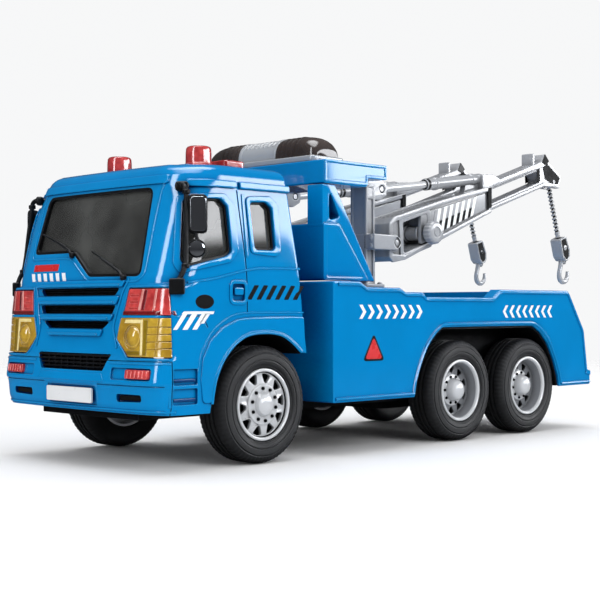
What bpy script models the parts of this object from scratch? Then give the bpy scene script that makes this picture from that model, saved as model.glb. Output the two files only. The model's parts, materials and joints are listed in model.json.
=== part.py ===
"""Toy tow truck with twin recovery booms, as an assembly of separate plastic pieces.

World frame: metres, +Z up, the truck faces -Y, its own left side is +X, and the
origin lies on the ground under the middle of the bounding box.  The dimensions
below are millimetres, with y counted from the front axle; SHIFT_Y moves them to
the world frame.  A pair of numbers for a pivot or an axis is its (y, z).
"""

import math

import bmesh
import bpy
from mathutils import Matrix, Vector

# ------------------------------------------------------------------ shared dimensions
MM = 0.001
SHIFT_Y = -104.95          # front axle's place in the world frame

RUN_GAP = 0.3              # gap left between neighbouring pieces
FIT_GAP = 0.4              # wider gap around the sound button and the chassis

WHEEL_D = 50.0             # tyre diameter
AXLE_Z = WHEEL_D / 2
AXLE_Y = {"front": 0.0, "middle": 135.4, "rear": 193.1}
MIDDLE_AXIS = (AXLE_Y["middle"], AXLE_Z)
AXLE_R = 1.5
AXLE_SOCKET_R = AXLE_R + RUN_GAP   # in the rims and the drive gear
AXLE_HOLE_R = 1.9          # in the chassis and the motor case

CHASSIS_HALF_W = 34.0
CHASSIS_Z = (20.0, 32.0)

BUTTON_AT = (28.0, 3.0)    # x, y of the sound button
BUTTON_HALF = 6.0

BOOM_X = 30.0              # centre plane of the left boom
BOOM_PIVOT = (104.0, 98.0)
RAM_PIVOT = (99.0, 124.3)
RAM_CLIP = (183.0, 135.5)  # point on the boom that the ram aims at
WINCH_AXIS = (129.7, 103.9)
WINCH_HOLE_R = 2.2
LINE_PIVOT = (249.6, 138.6)

# Cutters reach past the truck on these sides
PAST_SIDES = (-70, 70)
PAST_NOSE_Y = -70

# ------------------------------------------------------------------ clean start
for old in list(bpy.data.objects):
    bpy.data.objects.remove(old, do_unlink=True)
PARTS = bpy.data.collections.new("toy_tow_truck")
bpy.context.scene.collection.children.link(PARTS)


# ------------------------------------------------------------------ materials
def material(name, rgb, roughness, metallic=0.0):
    """A plain material; rgb is an sRGB colour from 0 to 255, stored as linear."""
    mat = bpy.data.materials.new(name)
    mat.use_nodes = True
    shader = mat.node_tree.nodes["Principled BSDF"]
    linear = [
        (c / 255 / 12.92) if c <= 10 else ((c / 255 + 0.055) / 1.055) ** 2.4
        for c in rgb
    ]
    shader.inputs["Base Color"].default_value = (*linear, 1.0)
    shader.inputs["Roughness"].default_value = roughness
    shader.inputs["Metallic"].default_value = metallic
    mat.diffuse_color = (*linear, 1.0)
    return mat


BLUE = material("blue_body", rgb=(0, 132, 210), roughness=0.22)
BLACK = material("black_plastic", rgb=(24, 25, 28), roughness=0.35)
RUBBER = material("tyre_rubber", rgb=(52, 53, 55), roughness=0.7)
SILVER = material("rim_silver", rgb=(214, 217, 220), roughness=0.3)
GREY = material("boom_silver", rgb=(200, 203, 207), roughness=0.32)
SMOKE = material("smoked_clear", rgb=(60, 62, 60), roughness=0.1)
DOME = material("dome_smoke", rgb=(62, 44, 38), roughness=0.15)
RED = material("red_lens", rgb=(214, 34, 38), roughness=0.12)
AMBER = material("amber_lens", rgb=(246, 186, 62), roughness=0.12)
WHITE = material("white_plastic", rgb=(236, 238, 240), roughness=0.35)
STEEL = material("steel", rgb=(180, 183, 187), roughness=0.25, metallic=1.0)
CREAM = material("gear_nylon", rgb=(232, 226, 206), roughness=0.45)
NAVY = material("interior_grey", rgb=(70, 74, 80), roughness=0.5)


# ------------------------------------------------------------------ points and outlines
def world(x, y, z):
    return Vector((x * MM, (y + SHIFT_Y) * MM, z * MM))


def span(centre, half):
    """The (low, high) range that reaches `half` to each side of `centre`."""
    return centre - half, centre + half


def circle(centre, radius, count=16):
    """Starts half a step round, so that flats face the axes."""
    angles = [2 * math.pi * (i + 0.5) / count for i in range(count)]
    return [
        (centre[0] + radius * math.cos(a), centre[1] + radius * math.sin(a)) for a in angles
    ]


def rectangle(x, z, margin=0.0):
    left, right = x[0] - margin, x[1] + margin
    low, high = z[0] - margin, z[1] + margin
    return [(left, high), (right, high), (right, low), (left, low)]


def trapezoid(top_half, top_z, low_half, low_z):
    return [(-top_half, top_z), (top_half, top_z), (low_half, low_z), (-low_half, low_z)]


def flip(loop):
    return [(-x, z) for x, z in loop]


# ------------------------------------------------------------------ shape helpers
# Turns a shape drawn in local XY, thick along Z, to (y, z), thick along X
TO_SIDE = Matrix(((0, 0, 1, 0), (1, 0, 0, 0), (0, 1, 0, 0), (0, 0, 0, 1)))
# The same for a shape drawn in (x, z), thick along Y
TO_FRONT = Matrix(((1, 0, 0, 0), (0, 0, -1, 0), (0, 1, 0, 0), (0, 0, 0, 1)))


def add_object(data):
    obj = bpy.data.objects.new("part", data)
    PARTS.objects.link(obj)
    return obj


def evaluated_mesh(obj):
    bpy.context.view_layer.update()
    graph = bpy.context.evaluated_depsgraph_get()
    return bpy.data.meshes.new_from_object(obj.evaluated_get(graph))


def take_geometry(helper):
    """The helper's evaluated shape as a bmesh; the helper is removed."""
    mesh = evaluated_mesh(helper)
    bpy.data.objects.remove(helper)
    geo = bmesh.new()
    geo.from_mesh(mesh)
    bpy.data.meshes.remove(mesh)
    return geo


def from_bmesh(geo):
    bmesh.ops.remove_doubles(geo, verts=geo.verts, dist=1e-7)
    bmesh.ops.recalc_face_normals(geo, faces=geo.faces)
    mesh = bpy.data.meshes.new("part")
    geo.to_mesh(mesh)
    geo.free()
    return add_object(mesh)


def box(x, y, z):
    """A block between two corners; x, y and z are (low, high) pairs."""
    geo = bmesh.new()
    bmesh.ops.create_cube(geo, size=1.0)
    low, high = world(x[0], y[0], z[0]), world(x[1], y[1], z[1])
    for v in geo.verts:
        v.co = Vector((low[i] + (v.co[i] + 0.5) * (high[i] - low[i]) for i in range(3)))
    return from_bmesh(geo)


def add_loop(curve, points, cyclic):
    spline = curve.splines.new("POLY")
    spline.points.add(len(points) - 1)
    for point, place in zip(spline.points, points):
        point.co = (*place, 1.0)
    spline.use_cyclic_u = cyclic


def plate(loops, thickness, place):
    """A flat outline (with holes) as a filled 2D curve, extruded both ways."""
    curve = bpy.data.curves.new("plate", "CURVE")
    curve.dimensions = "2D"
    curve.fill_mode = "BOTH"
    curve.extrude = thickness * MM / 2
    for loop in loops:
        add_loop(curve, [(u * MM, v * MM, 0.0) for u, v in loop], cyclic=True)
    geo = take_geometry(add_object(curve))
    geo.transform(place)
    return from_bmesh(geo)


def side_plate(x, *loops):
    """Outlines drawn in (y, z), extruded across the truck over the range x."""
    place = Matrix.Translation(world((x[0] + x[1]) / 2, 0, 0)) @ TO_SIDE
    return plate(loops, x[1] - x[0], place)


def front_plate(y, *loops):
    """Outlines drawn in (x, z), extruded along the truck over the range y."""
    place = Matrix.Translation(world(0, (y[0] + y[1]) / 2, 0)) @ TO_FRONT
    return plate(loops, y[1] - y[0], place)


def turned(profile, steps, centre=(0, 0), closed_ring=False):
    """(x, radius) pairs turned about an axle along X at `centre`."""
    geo = bmesh.new()
    verts = [geo.verts.new((0.0, radius * MM, x * MM)) for x, radius in profile]
    for start, end in zip(verts, verts[1:]):
        geo.edges.new((start, end))
    if closed_ring:
        geo.edges.new((verts[-1], verts[0]))
    mesh = bpy.data.meshes.new("profile")
    geo.to_mesh(mesh)
    geo.free()
    helper = add_object(mesh)
    screw = helper.modifiers.new("turn", "SCREW")
    screw.axis = "Z"
    screw.steps = screw.render_steps = steps
    screw.use_merge_vertices = True
    screw.merge_threshold = 1e-5
    geo = take_geometry(helper)
    geo.transform(Matrix.Translation(world(0, *centre)) @ TO_SIDE)
    return from_bmesh(geo)


def cylinder(x, radius, steps, centre=(0, 0)):
    low, high = x
    return turned([(high, 0.0), (high, radius), (low, radius), (low, 0.0)], steps, centre)


def loft(rings):
    """Joins rings of equally many points, in order, and closes both ends."""
    geo = bmesh.new()
    rows = [[geo.verts.new(world(*point)) for point in ring] for ring in rings]
    for low, high in zip(rows, rows[1:]):
        count = len(low)
        for i in range(count):
            after = (i + 1) % count
            geo.faces.new((low[i], low[after], high[after], high[i]))
    geo.faces.new(rows[0])
    geo.faces.new(rows[-1])
    return from_bmesh(geo)


def tube(points, radius):
    """A bent rod as a bevelled poly curve with filled caps."""
    curve = bpy.data.curves.new("tube", "CURVE")
    curve.dimensions = "3D"
    curve.bevel_depth = radius * MM
    curve.bevel_resolution = 2
    curve.use_fill_caps = True
    add_loop(curve, [world(*point) for point in points], cyclic=False)
    return from_bmesh(take_geometry(add_object(curve)))


def pose(obj, place):
    """Moves a shape drawn about (0, 0, 0) mm by a world matrix."""
    obj.data.transform(Matrix.Translation(-world(0, 0, 0)))
    obj.data.transform(place)
    return obj


# ------------------------------------------------------------------ booleans
def boolean(obj, operation, tools):
    """Applies each tool in turn with the exact solver, then removes the tools."""
    for tool in tools:
        mod = obj.modifiers.new(operation.lower(), "BOOLEAN")
        mod.operation = operation
        mod.object = tool
        mod.solver = "EXACT"
    mesh = evaluated_mesh(obj)
    before = obj.data
    obj.modifiers.clear()
    obj.data = mesh
    bpy.data.meshes.remove(before)
    for tool in tools:
        bpy.data.objects.remove(tool)
    geo = bmesh.new()
    geo.from_mesh(mesh)
    bmesh.ops.remove_doubles(geo, verts=geo.verts, dist=2e-6)
    bmesh.ops.dissolve_degenerate(geo, edges=geo.edges, dist=1e-6)
    geo.to_mesh(mesh)
    geo.free()
    return obj


def cut(obj, *tools):
    return boolean(obj, "DIFFERENCE", tools)


def join(obj, *tools):
    return boolean(obj, "UNION", tools)


def keep(obj, *tools):
    return boolean(obj, "INTERSECT", tools)


# ------------------------------------------------------------------ finished pieces
def piece(name, mat, obj):
    """Gives a finished shape its name and its single material."""
    obj.name = obj.data.name = name
    obj.data.materials.clear()
    obj.data.materials.append(mat)
    for face in obj.data.polygons:
        face.material_index = 0
    return obj


def set_origin(obj, x, y, z):
    """Puts the object's origin on its joint's axis."""
    point = world(x, y, z)
    obj.data.transform(Matrix.Translation(-point))
    obj.location = point


def paired(left, pivot=None):
    """Adds the right-hand twin of a left piece, and sets both origins to a pivot."""
    geo = bmesh.new()
    geo.from_mesh(left.data)
    geo.transform(Matrix.Scale(-1.0, 4, (1.0, 0.0, 0.0)))
    bmesh.ops.reverse_faces(geo, faces=geo.faces)
    mesh = bpy.data.meshes.new("part")
    geo.to_mesh(mesh)
    geo.free()
    name = left.name.replace("left", "right")
    right = piece(name, left.data.materials[0], add_object(mesh))
    if pivot:
        x, y, z = pivot
        set_origin(left, x, y, z)
        set_origin(right, -x, y, z)


# ------------------------------------------------------------------ cab surface
# height, front face y at the centre, half width, rear face y
CAB_LEVELS = (
    (20.0, -57.2, 57.2, 24.6), (23.3, -57.8, 57.4, 24.6), (27.0, -59.2, 57.8, 24.6),
    (33.6, -59.8, 57.9, 24.6), (35.6, -60.9, 57.9, 24.6), (44.5, -59.6, 57.9, 24.6),
    (47.0, -58.4, 57.9, 24.4), (64.0, -57.4, 57.9, 21.8), (72.6, -56.33, 57.9, 20.79),
    (74.4, -56.11, 57.9, 20.58), (75.8, -55.94, 57.9, 20.42), (78.5, -55.6, 57.9, 20.1),
    (84.6, -54.0, 57.7, 19.2), (100.0, -50.01, 56.81, 16.77), (108.0, -47.94, 56.34, 15.49),
    (112.0, -46.9, 56.1, 14.86), (115.5, -46.0, 55.9, 14.3), (118.0, -45.2, 55.8, 13.9),
    (120.5, -44.2, 55.4, 13.6), (122.6, -43.0, 54.8, 13.2), (124.0, -41.6, 53.6, 12.4),
    (125.0, -38.8, 51.2, 11.0),
)
# height, roundness of the front corners: tight beside the lamps, rounder above them
ROUNDNESS = (
    (0.0, 0.0), (74.4, 0.0), (75.8, 0.56), (84.6, 0.52), (100.0, 0.4), (108.0, 0.45),
    (112.0, 0.62), (115.5, 0.8), (118.0, 0.86), (130.0, 0.8),
)
CAB_FOOT_Z = 23.3
CAB_ROOF_Z = CAB_LEVELS[-1][0]
CAB_WALL = 1.8
LEVEL_GAP = 0.4            # levels nearer than this to a solid's ends are left out


def interpolate(table, z):
    """The table's other columns at height z."""
    for low, high in zip(table, table[1:]):
        if z <= high[0]:
            t = (z - low[0]) / (high[0] - low[0])
            return [start + t * (end - start) for start, end in zip(low[1:], high[1:])]


def cab_ring(z, inset):
    """One level of the cab surface, moved inwards by `inset`."""
    front, side, rear = interpolate(CAB_LEVELS, z)
    front, side, rear = front + inset, side - inset, rear - inset
    rounding = interpolate(ROUNDNESS, z + inset)[0]
    # left half in (x, y), from beside the nose centre round to the rear face
    half = [
        (14.0, front + 0.15),
        (28.0, front + 0.6),
        (40.0 - 2.0 * rounding, front + 1.2 + 0.1 * rounding),
        (side - 9.2 - 3.4 * rounding, front + 1.9 + 1.3 * rounding),
        (side - 4.2 - 2.6 * rounding, front + 3.6 + 3.6 * rounding),
        (side - 1.2 - 1.0 * rounding, front + 6.2 + 6.2 * rounding),
        (side, front + 10.5 + 8.0 * rounding),
        (side, rear - 1.6),
        (side - 1.6, rear),
    ]
    ring = [(0.0, front)] + half + [(-x, y) for x, y in reversed(half)]
    return [(x, y, z) for x, y in ring]


def cab_solid(low, high, inset):
    """The cab surface between two heights as a solid."""
    between = [
        level[0] for level in CAB_LEVELS if low + LEVEL_GAP < level[0] < high - LEVEL_GAP
    ]
    return loft([cab_ring(z, inset) for z in [low] + between + [high]])


# ------------------------------------------------------------------ cab outlines
# Front openings and lamps, (x, z)
WINDSCREEN = [
    (-37.2, 115.4), (37.2, 115.4), (40.0, 78.6), (6.6, 78.9), (-8.8, 89.5), (-39.8, 89.5),
]
SLOTS = (
    trapezoid(28.5, 74.2, 25.6, 71.0),
    trapezoid(26.9, 67.1, 25.0, 63.5),
    trapezoid(24.2, 60.5, 19.3, 57.3),
)
LOW_GRILLE = trapezoid(26.1, 47.0, 22.0, 40.1)
RED_LAMP = [(34.6, 73.7), (60.0, 73.7), (60.0, 62.9), (32.6, 62.9)]
AMBER_LAMP = [(30.7, 62.0), (60.0, 62.0), (60.0, 46.2), (36.6, 46.2), (29.0, 53.4)]
LAMP_OPENING = [
    (34.3, 74.0), (60.3, 74.0), (60.3, 45.9), (36.4, 45.9), (28.6, 53.4), (30.4, 62.2),
    (32.3, 62.6),
]
LAMP_BACK_Y = -51.9
INDICATOR = {"x": (36.5, 50.3), "z": (37.3, 41.5)}

# Side openings, (y, z)
DOOR_WINDOW = [(-39.6, 111.0), (-22.5, 110.6), (-22.1, 87.6), (-42.6, 83.2)]
REAR_WINDOW = [(-12.7, 110.5), (1.1, 110.5), (2.7, 89.6), (-9.9, 89.6)]
WHEEL_ARCH = [
    (-33.0, 10.0), (-32.1, 25.6), (-31.4, 30.7), (-30.1, 36.9), (-26.6, 44.0), (-21.0, 50.1),
    (-13.9, 54.4), (-5.9, 55.6), (1.5, 55.5), (8.3, 54.4), (14.4, 51.0), (19.1, 47.1),
    (20.2, 46.4), (40.0, 46.4), (40.0, 10.0),
]
STEP_Z = (28.0, 36.2)      # lower edges of the two recesses ahead of each wheel
STEP_H = 5.8


# ------------------------------------------------------------------ cab
def build_cab_shell():
    grille_y = (PAST_NOSE_Y, -50)
    lamp_y = (PAST_NOSE_Y, -51.6)
    tools = [
        cab_solid(20.0, CAB_ROOF_Z - CAB_WALL, CAB_WALL),
        box(PAST_SIDES, lamp_y, (10, 44.7)),      # room for the bumper
        side_plate(PAST_SIDES, WHEEL_ARCH),
        front_plate((PAST_NOSE_Y, -41.0), WINDSCREEN),
        side_plate(PAST_SIDES, DOOR_WINDOW),
        side_plate(PAST_SIDES, REAR_WINDOW),
        front_plate(grille_y, LOW_GRILLE),
        front_plate(lamp_y, LAMP_OPENING),
        front_plate(lamp_y, flip(LAMP_OPENING)),
        box(*[span(at, BUTTON_HALF + FIT_GAP) for at in BUTTON_AT], (118, 130)),
    ]
    tools += [front_plate(grille_y, slot) for slot in SLOTS]
    for side in (-1, 1):
        for low in STEP_Z:
            tools.append(box(span(side * 58.5, 1.5), (-50.6, -39.5), (low, low + STEP_H)))
    piece("cab_shell", BLUE, cut(cab_solid(CAB_FOOT_Z, CAB_ROOF_Z, 0.0), *tools))


def build_glazing():
    """One clear shell lying just inside the cab wall, open above and below."""
    inset, thickness = CAB_WALL + RUN_GAP, 1.2
    glass = cut(cab_solid(76.6, 117.0, inset), cab_solid(70.0, 120.0, inset + thickness))
    piece("cab_glazing", SMOKE, glass)


def build_interior():
    floor = box((-50, 50), (-38, 13), (58, 61))
    tools = [box((-43, 43), (-49.2, -37.5), (58, 76))]       # dashboard
    for y, z in (((-14, 8), (60, 70)), ((4, 11), (64, 96))):  # seat cushions, backs
        for x in ((10, 38), (-38, -10)):
            tools.append(box(x, y, z))
    piece("cab_interior", NAVY, join(floor, *tools))


def build_steering_wheel():
    """Drawn about the X axis, then turned to face rearwards and tilted."""
    rim = [(-1.0, 9.0), (1.0, 9.0), (1.0, 11.0), (-1.0, 11.0)]
    wheel = join(
        turned(rim, 16, closed_ring=True),
        box((-0.8, 0.8), (-9.6, 9.6), (-1.2, 1.2)),   # spoke
        cylinder((-9.0, 1.2), 3.0, 12),               # column
    )
    tilt = Matrix.Rotation(math.radians(25), 4, "X")
    face = Matrix.Rotation(math.radians(90), 4, "Z")
    pose(wheel, Matrix.Translation(world(24, -30.5, 83.6)) @ tilt @ face)
    piece("steering_wheel", BLACK, wheel)


# ------------------------------------------------------------------ front end
def build_bumper():
    tools = [
        cab_solid(21.5, 42.2, 2.4),
        box(PAST_SIDES, (-52.0, 40), (10, 60)),
        front_plate((PAST_NOSE_Y, -50), LOW_GRILLE),
    ]
    opening = rectangle(**INDICATOR, margin=RUN_GAP)
    for side, loop in ((1, opening), (-1, flip(opening))):
        tools.append(front_plate((PAST_NOSE_Y, -50), loop))
        tools.append(box(span(side * 37.3, 7.5), (-66, -57.0), (27.0, 31.5)))  # low recess
    piece("front_bumper", BLUE, cut(cab_solid(CAB_FOOT_Z, 44.4, 0.0), *tools))


def build_grille():
    grille = join(
        box((-28.9, 28.9), (-52.7, -51.0), (56.4, 75.6)),   # behind the slots
        box((-21.4, 21.4), (-57.6, -51.5), (40.5, 46.7)),   # in the low grille
        box((-9, 9), (-53.5, -51.5), (44, 58)),             # link between them
    )
    piece("grille_insert", BLACK, grille)


def build_lens(name, mat, loop, back_y, z, inset):
    """A pair of lenses whose faces follow the cab surface, a little inside it."""
    lens = keep(front_plate((-64, back_y), loop), cab_solid(*z, inset))
    paired(piece(name + "_left", mat, lens))


def build_number_plate():
    piece("number_plate", WHITE, box((-16.1, 16.1), (-61.1, -60.2), (26.6, 33.0)))


# side: arm points, blade points
WIPERS = {
    "left": (
        [(30.5, -56.6, 78.2), (28.0, -56.3, 80.6), (14.2, -54.85, 86.4)],
        [(22.5, -55.5, 83.8), (6.0, -54.2, 89.0)],
    ),
    "right": (
        [(-8.0, -54.9, 88.6), (-11.0, -54.1, 91.0), (-25.0, -52.6, 95.8)],
        [(-16.0, -53.3, 93.6), (-34.0, -51.9, 98.0)],
    ),
}


def build_wipers():
    for side, (arm, blade) in WIPERS.items():
        piece("windscreen_wiper_" + side, BLACK, join(tube(arm, 0.55), tube(blade, 0.5)))


# ------------------------------------------------------------------ roof and mirrors
BEACON_AT = (28.0, -13.2)  # x, y of the left beacon
BEACON_LAMP = [(135.6, 0.0), (135.6, 4.2), (134.6, 5.0), (126.0, 5.4), (126.0, 0.0)]  # z, radius


def build_beacons():
    foot = box(*[span(at, 5.8) for at in BEACON_AT], (CAB_ROOF_Z + RUN_GAP, 127.6))
    upright = Matrix.Rotation(math.radians(-90), 4, "Y")
    lamp = pose(turned(BEACON_LAMP, 20), Matrix.Translation(world(*BEACON_AT, 0)) @ upright)
    paired(piece("roof_beacon_left", RED, join(foot, lamp)))


def build_sound_button():
    """The flange under the roof keeps the button from coming out."""
    button = join(
        box(*[span(at, BUTTON_HALF) for at in BUTTON_AT], (121.0, 130.6)),
        box(*[span(at, BUTTON_HALF + 1.4) for at in BUTTON_AT], (120.8, 122.4)),
    )
    set_origin(piece("sound_button", RED, button), *BUTTON_AT, 121.0)


MIRROR_ARM = [
    (48.0, -39.0, 115.0), (51.6, -42.0, 115.6), (54.2, -43.0, 114.4), (55.0, -42.8, 111.8),
    (56.2, -43.8, 100.0), (57.0, -44.6, 90.0), (57.8, -45.3, 83.4), (58.0, -47.6, 79.4),
    (57.4, -49.0, 75.0),
]
# (x, y), half thickness, half length, (low z, high z), degrees from +Y towards +X
MIRROR_BOXES = (
    ((58.5, -39.8), 1.4, 3.8, (95.6, 111.4), 32.0),   # tall mirror
    ((58.8, -40.6), 1.1, 3.4, (85.6, 93.6), 32.0),    # short mirror
    ((57.3, -49.5), 1.4, 3.1, (71.2, 77.6), 45.0),    # low front mirror
    ((57.3, -43.5), 0.7, 1.6, (97.4, 98.8), 32.0),    # link to the tall mirror
    ((57.6, -43.6), 0.7, 1.6, (88.6, 90.0), 32.0),    # link to the short mirror
)


def build_side_mirrors():
    boxes = []
    for place, half_thick, half_long, z, degrees in MIRROR_BOXES:
        turn = Matrix.Rotation(math.radians(-degrees), 4, "Z")
        block = box(span(0, half_thick), span(0, half_long), z)
        boxes.append(pose(block, Matrix.Translation(world(*place, 0)) @ turn))
    mirror = join(tube(MIRROR_ARM, 1.1), *boxes)
    cut(mirror, cab_solid(CAB_FOOT_Z, CAB_ROOF_Z, -0.15))    # clears the cab surface
    paired(piece("side_mirror_left", BLACK, mirror))


# ------------------------------------------------------------------ rear body
# Side outline and the hollow inside it, (y, z)
BODY_SIDE = [
    (40.0, 23.5), (40.0, 78.0), (58.0, 78.0), (62.7, 75.5), (86.0, 75.5), (90.0, 73.5),
    (102.7, 73.5), (105.3, 71.3), (158.6, 71.3), (165.2, 75.5), (227.8, 75.5), (243.1, 54.0),
    (246.9, 30.0), (249.6, 29.0), (249.6, 23.5), (219.2, 23.5), (218.2, 29.0), (214.2, 38.1),
    (208.4, 47.2), (202.0, 52.9), (194.8, 56.7), (155.3, 56.7), (118.0, 56.5), (113.0, 53.6),
    (106.2, 47.6), (100.9, 38.5), (97.5, 30.7), (96.6, 23.5),
]
BODY_HOLLOW = [
    (42.0, 10.0), (42.0, 76.0), (57.0, 76.0), (62.0, 73.5), (85.2, 73.5), (89.0, 71.5),
    (102.0, 71.5), (105.0, 66.0), (226.4, 66.0), (241.0, 53.2), (244.6, 30.0), (244.6, 10.0),
]
BODY_HALF_W = 57.9
BODY_WALL = 1.6            # side walls


def build_rear_body():
    notch_top = CHASSIS_Z[1] + FIT_GAP
    body = cut(
        side_plate(span(0, BODY_HALF_W), BODY_SIDE),
        side_plate(span(0, BODY_HALF_W - BODY_WALL), BODY_HOLLOW),
        box((-51.5, 51.5), (108.0, 224.5), (68.2, 90.0)),    # sunken deck
        # notch in the front wall for the chassis
        box(span(0, CHASSIS_HALF_W + FIT_GAP), (39.0, 43.0), (10.0, notch_top)),
    )
    piece("rear_body", BLUE, body)


# ------------------------------------------------------------------ headboard and light bar
# Side outlines, (y, z)
HEADBOARD_SIDE = [(43.0, 78.4), (43.0, 104.5), (53.4, 104.5), (74.0, 78.4)]
FRAME_SIDE = [
    (43.0, 102.6), (43.0, 122.2), (51.0, 122.2), (78.6, 78.4), (72.0, 78.4), (52.4, 104.0),
    (52.4, 102.6),
]
FRAME_HOLE = [(47.4, 106.0), (47.4, 120.0), (54.4, 107.4)]
HEADBOARD_X = (-49, 49)
BEAM_TOP_Z = 133.4
BEAM_SIDE = [
    (43.5, 122.5), (43.5, BEAM_TOP_Z), (86.0, BEAM_TOP_Z), (86.0, 126.7), (72.5, 126.7),
    (72.5, 122.5),
]
LIGHT_BAR_Y = 57.5
LIGHT_BASE_TOP_Z = 136.4
LIGHT_CENTRE_HALF_W = 13.0
# Half-round section of the light bar: y from its middle, z above its foot
DOME_SECTION = (
    (-10.0, 0.0), (-9.7, 4.6), (-7.6, 7.9), (-3.6, 9.7), (0.0, 10.0), (3.6, 9.7), (7.6, 7.9),
    (9.7, 4.6), (10.0, 0.0),
)
# x, scale of the section, from the light bar's centre block outwards
LENS_STATIONS = (
    (LIGHT_CENTRE_HALF_W + RUN_GAP, 1), (27.0, 1), (32.0, 0.9), (35.4, 0.68), (37.6, 0.34),
)


def build_headboard():
    board = cut(
        side_plate(HEADBOARD_X, HEADBOARD_SIDE),
        box((-46.6, 46.6), (45.4, 90.0), (70.0, 102.1)),
    )
    for side in (1, -1):
        join(board, side_plate(span(side * 43.4, 5.0), FRAME_SIDE, FRAME_HOLE))
    piece("headboard", BLUE, board)


def build_cross_beam():
    piece("cross_beam", BLUE, side_plate(HEADBOARD_X, BEAM_SIDE))


def dome(x, scale):
    """The light bar's section at x; its width shrinks less than its height."""
    foot = LIGHT_BASE_TOP_Z + RUN_GAP
    return [
        (x, LIGHT_BAR_Y + y * (0.55 + 0.45 * scale), foot + z * scale)
        for y, z in DOME_SECTION
    ]


def build_light_bar():
    base_z = (BEAM_TOP_Z + RUN_GAP, LIGHT_BASE_TOP_Z)
    piece("light_bar_base", WHITE, box(span(0, 38.5), span(LIGHT_BAR_Y, 11.0), base_z))
    lens = loft([dome(x, scale) for x, scale in LENS_STATIONS])
    paired(piece("light_bar_lens_left", DOME, lens))
    centre = loft([dome(x, 1) for x in span(0, LIGHT_CENTRE_HALF_W)])
    piece("light_bar_centre", WHITE, centre)


# ------------------------------------------------------------------ masts
EAR = [
    (86.8, 90.5), (86.8, 105.5), (104.0, 105.5), (109.5, 101.5), (109.5, 94.5), (104.0, 90.5),
]
TOP_EAR = [
    (87.2, 118.8), (87.2, 128.2), (98.4, 128.9), (102.2, 127.2), (103.4, 124.3),
    (102.2, 121.2), (97.6, 118.8),
]
MAST_Y = (87.0, 93.6)
MAST_FOOT_Z = 75.9
CHEEK_HALF_T = 1.0         # half thickness of the ears and lugs


def boom_span(half):
    return span(BOOM_X, half)


def cheeks(offset, *loops):
    """Two equal plates, `offset` to either side of the boom's centre plane."""
    return [
        side_plate(span(BOOM_X + side * offset, CHEEK_HALF_T), *loops) for side in (-1, 1)
    ]


def build_masts():
    mast = join(
        box(boom_span(5.0), MAST_Y, (MAST_FOOT_Z, 126.2)),
        box(boom_span(10.6), MAST_Y, (90.6, 105.4)),
        *cheeks(9.6, EAR, circle(BOOM_PIVOT, 3.0, 12)),
        *cheeks(4.0, TOP_EAR, circle(RAM_PIVOT, 1.9, 10)),
        box(boom_span(8.0), (84.0, 98.0), (MAST_FOOT_Z, 77.6)),
    )
    paired(piece("mast_left", GREY, mast))


# ------------------------------------------------------------------ booms and rams
# Side outlines, (y, z)
BOOM_SIDE = [
    (101.2, 91.0), (101.2, 107.6), (104.6, 110.8), (141.8, 121.2), (185.6, 131.6),
    (184.8, 117.3), (113.5, 90.0), (104.0, 88.4),
]
BOOM_WINDOW = [(116.2, 93.5), (115.6, 108.9), (142.6, 116.6), (143.2, 103.5)]
TIP_SIDE = [
    (181.0, 116.0), (184.8, 117.5), (239.5, 135.1), (254.4, 135.0), (257.6, 141.8),
    (243.2, 150.6), (239.6, 154.0), (236.6, 149.0), (197.0, 136.3), (190.0, 138.4),
    (181.0, 137.6),
]
TIP_HOLE = [(188.0, 122.0), (188.0, 129.4), (232.6, 143.2), (235.6, 137.4)]
RAM_BRACKET = [(168.0, 126.0), (171.0, 134.2), (181.6, 135.0), (181.6, 128.0)]
WINCH_LUG = [(126.0, 98.0), (126.0, 113.6), (133.6, 115.6), (133.6, 100.6)]
# distance from the ram pivot, radius
RAM_CYLINDER = [
    (89.0, 0.0), (89.0, 2.4), (86.0, 3.0), (46.0, 3.0), (45.4, 3.5), (39.4, 3.5), (38.8, 3.0),
    (38.8, 0.0),
]
# x, radius: outer knob, then spindle and drum
WINCH = [
    (44.8, 0.0), (44.8, 4.6), (43.6, 5.8), (40.4, 5.8), (39.4, 4.8), (39.4, 1.8), (35.0, 1.8),
    (35.0, 4.5), (33.8, 4.5), (33.8, 3.0), (26.2, 3.0), (26.2, 4.5), (25.0, 4.5), (25.0, 1.8),
    (21.0, 1.8), (21.0, 0.0),
]


def along_ram(obj):
    """Lays a shape drawn along +X from the ram pivot towards the clip."""
    angle = math.atan2(RAM_CLIP[1] - RAM_PIVOT[1], RAM_CLIP[0] - RAM_PIVOT[0])
    rise = Matrix.Rotation(angle, 4, "X")
    rearwards = Matrix.Rotation(math.radians(90), 4, "Z")
    return pose(obj, Matrix.Translation(world(BOOM_X, *RAM_PIVOT)) @ rise @ rearwards)


def eye(pin_half, pin_r, hub_half, hub_r, steps, centre):
    """A hub with a thinner pin standing out on both sides of the boom's centre plane."""
    half = [(pin_half, 0.0), (pin_half, pin_r), (hub_half, pin_r), (hub_half, hub_r)]
    profile = half + [(-x, radius) for x, radius in reversed(half)]
    return turned([(BOOM_X + x, radius) for x, radius in profile], steps, centre)


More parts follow.
